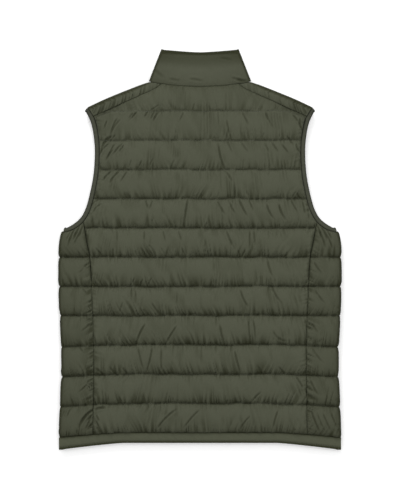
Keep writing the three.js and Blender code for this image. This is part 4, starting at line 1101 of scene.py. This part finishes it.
def collar(rng):
    shares = np.linspace(0, 0.97, NECK_POINTS)
    front_start = moved(neck_line, -SEAM_GAP)
    front_start[:, 0] = np.maximum(front_start[:, 0], ZIP_EDGE)
    scoop_depth = COLLAR_BACK_TOP_Y + COLLAR_TOP_RISE - COLLAR_FRONT_TOP_Y
    rise = 1 - (1 - shares**COLLAR_TOP_CURVE) ** (1 / COLLAR_TOP_CURVE)
    front_top = COLLAR_FRONT_TOP_Y + scoop_depth * rise
    front_end = np.stack([mixed(ZIP_EDGE, COLLAR_TOP_HALF, shares), front_top], 1)
    turn = np.radians(np.linspace(-90, 90, 15))
    corner_start = (NECK_END_X - SEAM_GAP, neck_back_y(NECK_END_X) + SEAM_GAP)
    corner_end = (COLLAR_TOP_HALF, COLLAR_BACK_TOP_Y + COLLAR_TOP_RISE)
    back_x = np.linspace(NECK_END_X, 0, 50)[1:]
    back_share = back_x / NECK_END_X
    back_start = np.stack([back_x, neck_back_y(back_x) + SEAM_GAP / 2], 1)
    back_top = COLLAR_BACK_TOP_Y + COLLAR_TOP_RISE * back_share**1.4
    back_end = np.stack([COLLAR_TOP_HALF * back_share, back_top], 1)
    start = np.vstack([front_start, np.tile(corner_start, (len(turn), 1)), back_start])
    end = np.vstack([front_end, np.tile(corner_end, (len(turn), 1)), back_end])
    angle = np.concatenate([0 * shares - math.pi / 2, turn, 0 * back_x + math.pi / 2])
    outward = np.tile([math.cos(COLLAR_FOLD_ANGLE), math.sin(COLLAR_FOLD_ANGLE)], (len(start), 1))
    up = np.linspace(0, 1, COLLAR_ROWS)
    body = np.interp(up, *np.array(COLLAR_THICKNESS).T)
    edge_dip = 1.3 * np.exp(-(((1 - up) * COLLAR_HEIGHT - COLLAR_EDGE_INSET) / 1.7) ** 2)
    columns = 2 * len(start) - 1
    middle = np.arange(columns) - (columns - 1) / 2
    run = middle[None] * 2 + 0 * up[:, None]
    fall = up[:, None] * COLLAR_HEIGHT + 0 * run
    relief = 0.7 * puckers(run, fall, 4.0, 7.0, 0.3, rng)
    to_edge = np.maximum(COLLAR_HEIGHT - COLLAR_EDGE_INSET - fall, 0)
    relief = relief + 0.5 * puckers(run, to_edge, 3.5, 6.0, 0.2, rng)
    relief = relief + 0.35 * rumple(run, fall, 26, 22, rng) + 0.2 * rumple(run, fall, 9, 9, rng)
    ends = smooth(up / 0.04) * smooth((1 - up) / 0.04)
    thickness = (body - edge_dip)[:, None] + relief * ends[:, None]
    cloth = Cloth()
    outer, inner = band(cloth, start, end, angle, outward, up, thickness, COLLAR_SAG, COLLAR_FOLD)
    on_back = np.abs(middle) < 50
    creases = crease_relief(outer[..., 0], outer[..., 1], COLLAR_CREASES) * on_back
    outer[..., 2] += creases * ends[:, None]
    # Painted shade on the collar: near the neck seam, over its upper half, along its top edge and
    # groove,
    hollow = 0.30 * np.exp(-up * COLLAR_HEIGHT / 8)
    # toward its ends and in its creases
    hollow = hollow + 0.54 * smooth((up - 0.45) / 0.35)
    reach = np.abs(outer[..., 0])
    corners = (reach / reach.max(axis=1, keepdims=True)) ** 3
    top_rim_shade = rim_shading((1 - up)[:, None] * COLLAR_HEIGHT, mixed(4.8, 3.4, corners))
    hollow = hollow[:, None] + top_rim_shade + (0.1 + 0.7 * corners) * edge_dip[:, None]
    hollow = hollow + 0.2 * corners + rim_shading(reach.max(axis=1, keepdims=True) - reach)
    hollow = hollow + np.clip(-creases / 5, 0, 0.5)
    numbers = cloth.points(outer, inner, hollow)
    cloth.grid(numbers, list(range(columns)), set(range(COLLAR_ROWS)))
    edge_row = int(round((1 - COLLAR_EDGE_INSET / COLLAR_HEIGHT) * (COLLAR_ROWS - 1)))
    return cloth.mesh("collar_padded"), outer[edge_row]


neck_collar, collar_stitch_line = collar(np.random.default_rng(90))
# The collar's nylon is the shell nylon painted a little darker, which is painted shade
dress(neck_collar, shell_nylon("collar_nylon", 0.95), "shell", "collar")

# Armhole bindings: a narrow elastic tape folded over each raw edge. It runs round the armhole on
# both layers with fine ripples across it, and painted shade along both edges and near the tip.
BINDING_THICKNESS = 4.0
BINDING_SECTION = 16
BINDING_COLOUR = (0.050, 0.053, 0.034, 1)
BINDING_PAINTED_SHADE = (0.011, 0.012, 0.007, 1)


def boxed(value, power):
    """A sine or cosine pushed outward, so that a circle becomes a rounded box"""
    return np.sign(value) * np.abs(value) ** power


def binding(side, rng):
    turned = np.linspace(0, 2 * math.pi, BINDING_SECTION, endpoint=False)
    across = BINDING_WIDTH / 2 * boxed(np.cos(turned), 0.6)
    lift = BINDING_THICKNESS / 2 * boxed(np.sin(turned), 0.75)
    layer = LAYER_GAP / 2 + BINDING_THICKNESS / 2
    over = np.radians(np.linspace(90, -90, 11)[1:-1])
    last = len(armhole_back) - 1
    stops = [(armhole_back, i, math.pi / 2, 1) for i in range(last + 1)]
    stops += [(armhole_back, last, angle, 1) for angle in over]
    stops += [(armhole_front, i, -math.pi / 2, 1) for i in range(last, -1, -1)]
    stops += [(armhole_back, 0, angle, -1) for angle in over[::-1]]
    widths = {id(line): across_angles(line) for line in (armhole_back, armhole_front)}
    run = np.arange(len(stops)) * 2.1
    ripple = 0.28 * billow(wander(run, 3.2, rng)) + 0.2 * wander(run, 12.0, rng)
    points = []
    for (line, i, angle, heading), wave in zip(stops, ripple):
        width = widths[id(line)][i]
        inward = np.array([math.cos(width), math.sin(width), 0])
        level = heading * math.cos(angle)
        out = np.array([-math.sin(width) * level, math.cos(width) * level, math.sin(angle)])
        centre = np.append(line[i], MID_Z) + inward * BINDING_WIDTH / 2 + out * layer
        swell = lift * (1 + wave * (lift > 0))
        ring = centre + across[:, None] * inward + swell[:, None] * out
        points.append(ring * (side, 1, 1))
    numbers = closed(np.arange(len(points) * BINDING_SECTION).reshape(len(points), -1))
    faces = quads(closed(numbers.T).T)[:, ::-side].tolist()
    share = across / (BINDING_WIDTH / 2)
    # Painted shade along both edges, heavier on the armhole's own edge, and toward the shoulder tip
    hollow = np.where(share > 0, 0.6 * np.abs(share) ** 5, np.abs(share) ** 1.8)
    from_tip = np.array([i for _, i, _, _ in stops])[:, None]
    hollow = np.clip(hollow + 0.5 * np.exp(-from_tip / 7.0), 0, 1).reshape(-1)
    name = f"{SIDE_NAMES[side]}_binding_tape"
    return shaped(name, np.vstack(points), faces, len(faces), hollow=hollow)


def binding_tape():
    """Ribbed elastic tape: fine ribs across it, rougher along its edges, with painted shade there"""
    material, tree, place = new_material("binding_tape")
    hollow = attribute(tree, "hollow")
    fine = noise(tree, place, 420.0, 2.0)
    patches = noise(tree, place, 25.0)
    ribs = threads(tree, place, "Y", 0.0011) + threads(tree, place, "X", 0.0011)
    tone = tree.mix(0.5 * patches, BINDING_COLOUR, (0.058, 0.062, 0.040, 1))
    tone = tree.mix(0.3 * fine, tone, (0.036, 0.039, 0.023, 1))
    # Painted shade: the mesh's shade mask darkens the tape toward the shade colour
    colour = tree.mix(0.95 * hollow, tone, BINDING_PAINTED_SHADE)
    return finished(
        material, tree, colour, 0.62 + 0.15 * fine, ribs * 0.2 + fine * 0.4, 0.0004,
        Sheen_Weight=0.05, Sheen_Roughness=0.5, Specular_IOR_Level=0.25,
    )


tape = binding_tape()
binding_round = run_along(armhole_back)[-1] + run_along(armhole_front)[-1]
binding_round += math.pi * BINDING_THICKNESS
for side in SIDE_NAMES:
    piece = binding(side, np.random.default_rng(110 + side))
    dress(piece, tape, "trim", f"{SIDE_NAMES[side]}_armhole_binding")

# Zip tapes: two narrow woven tapes sewn behind the front edges, each with a corded inner edge.
# They meet in the middle, and spread a little above the slider.
TAPE_THICKNESS = 1.2
TAPE_GAP = 0.3
TAPE_CORD = 0.25
CORD_WIDTH = 1.2
CORD_SLOPE = 0.8
TAPE_COLOUR = (0.040, 0.042, 0.030, 1)
TAPE_STATIONS = 340
SLIDER_Y = 304.0
NECK_SPLIT = 1.6
SPLIT_LENGTH = 9.0


def zip_z(y):
    """Height of the front layer's inside along the zip"""
    hem_share = np.clip((y - HEM_SEAM_Y) / (HEM_BOTTOM_Y - HEM_SEAM_Y), 0, 1)
    collar_share = np.maximum(0, (y - NECK_FRONT_Y) / (COLLAR_FRONT_TOP_Y - NECK_FRONT_Y))
    sunk = HEM_SAG * hem_share**SAG_CURVE + COLLAR_SAG * collar_share**SAG_CURVE
    return MID_Z - LAYER_GAP / 2 - sunk


def swept(rings):
    """Faces of a bar through rings of points, capped at both ends"""
    count, size = len(rings), len(rings[0])
    numbers = np.arange(count * size).reshape(count, size)
    return quads(closed(numbers)).tolist() + [numbers[0][::-1].tolist(), numbers[-1].tolist()]


def zip_tapes():
    y = np.linspace(HEM_BOTTOM_Y, COLLAR_FRONT_TOP_Y, TAPE_STATIONS)
    inner = mixed(SEAM_GAP / 2, NECK_SPLIT, smooth((y - SLIDER_Y) / SPLIT_LENGTH + 0.5))
    outer = ZIP_EDGE - TAPE_GAP
    points, faces = [], []
    for side in SIDE_NAMES:
        rings = []
        for station, edge in zip(y, inner):
            top = zip_z(station)
            cord, low = edge + CORD_WIDTH, top - TAPE_THICKNESS
            section = [(edge, top), (cord, top), (outer, top), (outer, low)]
            section += [(cord + CORD_SLOPE, low), (cord, low - TAPE_CORD), (edge, low - TAPE_CORD)]
            rings.append([(side * x, station, z) for x, z in section[::side]])
        start = len(points) * len(rings[0])
        faces += [[start + corner for corner in face] for face in swept(rings)]
        points += rings
    return shaped("zip_tapes_woven", np.vstack(points), faces, 0)


def tape_weave():
    """Herringbone-woven polyester tape, matt and darker than the shell"""
    material, tree, place = new_material("tape_weave")
    fine = noise(tree, place, 500.0, 2.0)
    patches = noise(tree, place, 30.0)
    ribs = threads(tree, place, "DIAGONAL", 0.0007) * threads(tree, place, "Y", 0.0012)
    tone = tree.mix(0.6 * patches, TAPE_COLOUR, (0.052, 0.055, 0.040, 1))
    colour = tree.mix(0.4 * fine, tone, (0.028, 0.030, 0.021, 1))
    return finished(
        material, tree, colour, 0.78 + 0.12 * fine, ribs * 0.6 + fine * 0.3, 0.0003,
        Sheen_Weight=0.15, Sheen_Roughness=0.6, Specular_IOR_Level=0.3,
    )


tapes = zip_tapes()
dress(tapes, tape_weave(), "trim", "left_zip_tape", "right_zip_tape")

# Zip chain, box, slider and pull: moulded teeth that mesh from the box at the hem to the slider,
# and a dark metal slider whose pull tab is hinged on its bridge and lies toward the hem.
TOOTH_PITCH = 2.9
TOOTH_LENGTH = 1.7
TOOTH_REACH = 1.0
CHAIN_HALF_WIDTH = 3.0
CHAIN_HEIGHT = 2.2
CHAIN_START = HEM_BOTTOM_Y + 9
PLASTIC_COLOUR = (0.026, 0.027, 0.020, 1)
METAL_COLOUR = (0.075, 0.077, 0.068, 1)


def zip_teeth():
    points, faces = [], []
    stations = np.arange(CHAIN_START + TOOTH_LENGTH, SLIDER_Y - TOOTH_LENGTH, TOOTH_PITCH / 2)
    turned = np.linspace(0, 2 * math.pi, 10, endpoint=False)
    for number, y in enumerate(stations):
        side = 1 if number % 2 else -1
        middle = side * (CHAIN_HALF_WIDTH - TOOTH_REACH) / 2
        half = (CHAIN_HALF_WIDTH + TOOTH_REACH) / 2
        z = zip_z(y) - TAPE_THICKNESS - TAPE_GAP - CHAIN_HEIGHT / 2
        across = boxed(np.cos(turned), 0.5) * half
        lift = boxed(np.sin(turned), 0.5) * CHAIN_HEIGHT / 2
        rings = []
        for along, size in ((-1, 0.78), (-0.6, 1), (0.6, 1), (1, 0.78)):
            ring_y = np.full(len(turned), y + along * TOOTH_LENGTH / 2)
            rings.append(np.stack([middle + size * across, ring_y, z + size * lift], 1))
        start = len(points) * len(turned)
        faces += [[start + corner for corner in face[::-1]] for face in swept(rings)]
        points += rings
    return shaped("zip_teeth", np.vstack(points), faces, len(faces))


def moulded_plastic():
    """Satin moulded plastic with faint mould grain and rubbed high spots"""
    material, tree, place = new_material("moulded_plastic")
    grain = noise(tree, place, 900.0, 2.0)
    rubbed = noise(tree, place, 60.0)
    colour = tree.mix(rubbed * 0.5, PLASTIC_COLOUR, (0.040, 0.041, 0.032, 1))
    return finished(
        material, tree, colour, 0.38 + 0.2 * grain, grain, 0.0001, Specular_IOR_Level=0.5
    )


def gunmetal():
    """Dark plated metal, finely brushed along its length and worn paler on its faces"""
    material, tree, place = new_material("gunmetal")
    brushed = noise(tree, place, 900.0, 2.0, (1, 0.06, 1))
    worn = noise(tree, place, 240.0, 3.0)
    colour = tree.mix(0.6 * worn, METAL_COLOUR, (0.150, 0.150, 0.135, 1))
    return finished(
        material, tree, colour, 0.3 + 0.25 * brushed, brushed, 0.00006, Metallic=0.85
    )


plastic, metal = moulded_plastic(), gunmetal()
teeth = zip_teeth()
dress(teeth, plastic, "zip_plastic", "zip_chain")
for node, finish in (("zip_box", plastic), ("zip_slider", metal), ("zip_pull", metal)):
    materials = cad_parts[node].data.materials
    materials.clear()
    materials.append(finish)

# Stitches: short lengths of matching thread along every quilting row, the hem's lower edge and
# the collar's top edge, each pressed into the cloth at its ends.
STITCH_PITCH = 3.4
STITCH_LENGTH = 2.5
THREAD_RADIUS = 0.32
STITCH_LIFT = 0.2
THREAD_COLOUR = (0.050, 0.053, 0.036, 1)


def stitches(name, lines):
    """One piece with a stitch at every pitch along lines of points"""
    starts, ends, ups = [], [], []
    for line in lines:
        run = run_along(line)
        places = np.arange(1.0, run[-1] - STITCH_LENGTH, STITCH_PITCH)
        first, last = (
            np.stack([np.interp(at, run, line[:, k]) for k in range(3)], 1)
            for at in (places, places + STITCH_LENGTH)
        )
        starts.append(first)
        ends.append(last)
        ups.append(np.where(first[:, 2:] > MID_Z, 1.0, -1.0) * (0, 0, 1))
    start, end, up = np.vstack(starts), np.vstack(ends), np.vstack(ups)
    heading = end - start
    across = np.cross(heading, up)
    across /= np.linalg.norm(across, axis=1, keepdims=True)
    rings = []
    for share, radius, lift in ((0, 0.4, -0.3), (0.2, 1, 1), (0.8, 1, 1), (1, 0.4, -0.3)):
        centre = start + heading * share + up * STITCH_LIFT * lift
        ring = [centre + THREAD_RADIUS * radius * part for part in (up, across, -up, -across)]
        rings.append(np.stack(ring, 1))
    points = np.stack(rings, 1)
    points[..., 2] = np.maximum(points[..., 2], 0)
    first_corners = np.arange(len(points)) * math.prod(points.shape[1:3])
    bar = swept(points[0])
    faces = [[first + corner for corner in face] for first in first_corners.tolist() for face in bar]
    return shaped(name, points.reshape(-1, 3), faces, len(faces))


def thread():
    """Twisted polyester thread with a slight sheen"""
    material, tree, place = new_material("thread")
    twist = threads(tree, place, "DIAGONAL", 0.0005)
    shade = noise(tree, place, 80.0)
    colour = tree.mix(0.5 * shade, THREAD_COLOUR, (0.066, 0.069, 0.048, 1))
    return finished(
        material, tree, colour, 0.5 + 0.15 * shade, twist, 0.0001, Sheen_Weight=0.2
    )


thread_finish = thread()
for name, lines in (
    ("back_stitches", back_stitch_lines),
    ("side_stitches", side_stitch_lines),
    ("front_stitches", front_stitch_lines),
    ("edge_stitches", [hem_stitch_line, collar_stitch_line]),
):
    dress(stitches(name, lines), thread_finish, "trim")

# Table top under the vest: a plain sheet of pale, matt paper, laid just below the cloth. It is lit
# a little by itself, so that it stays nearly white and the shadow round the vest stays faint.
FLOOR_HALF_SIZE = 15000.0
FLOOR_DROP = 0.5
floor_corners = [
    (x * FLOOR_HALF_SIZE, y * FLOOR_HALF_SIZE, -FLOOR_DROP)
    for x, y in ((-1, -1), (1, -1), (1, 1), (-1, 1))
]
floor = shaped("table_top", floor_corners, [(0, 1, 2, 3)], 0)
paper, paper_tree, paper_place = new_material("table_paper")
paper_grain = noise(paper_tree, paper_place, 300.0)
finished(
    paper, paper_tree, (0.92, 0.92, 0.92, 1), 0.85, paper_grain, 0.0002,
    Emission_Color=(1, 1, 1, 1), Emission_Strength=0.22,
)
floor.data.materials.append(paper)


# Studio light: one broad lamp beyond the collar and a weaker one overhead, both aimed at the vest,
# in a pale room that fills the shadows. Lengths are in metres and powers in watts.
def lamp(name, place, size, power):
    light = bpy.data.lights.new(name, "AREA")
    light.shape = "SQUARE"
    light.size = size
    light.energy = power
    holder = placed(name, light)
    holder.location = place
    aim = -holder.location
    holder.rotation_euler = aim.to_track_quat("-Z", "Y").to_euler()


ROOM_BRIGHTNESS = 0.62
lamp("lamp_beyond_collar", (-0.55, 2.25, 1.7), size=1.2, power=37.0)
lamp("lamp_overhead", (0.4, 0.3, 3.0), size=2.0, power=32.0)
world = bpy.data.worlds.new("pale_room")
bpy.context.scene.world = world
world.use_nodes = True
background = world.node_tree.nodes["Background"].inputs
background["Color"].default_value = (1, 1, 1, 1)
background["Strength"].default_value = ROOM_BRIGHTNESS
bpy.context.scene.view_settings.view_transform = "Standard"

# Camera: straight above the back, with a long lens and the collar at the top of the picture. The
# picture's height covers the given length of table, in metres, as in the photo.
PHOTO_HEIGHT = 0.9776
CAMERA_HEIGHT = 8.0
camera = bpy.data.cameras.new("photo_camera")
camera.lens = camera.sensor_width * CAMERA_HEIGHT / PHOTO_HEIGHT
camera.clip_end = 50.0
camera_holder = placed("photo_camera", camera)
camera_holder.location = (0, 0, CAMERA_HEIGHT + MID_Z * MM)
bpy.context.scene.camera = camera_holder
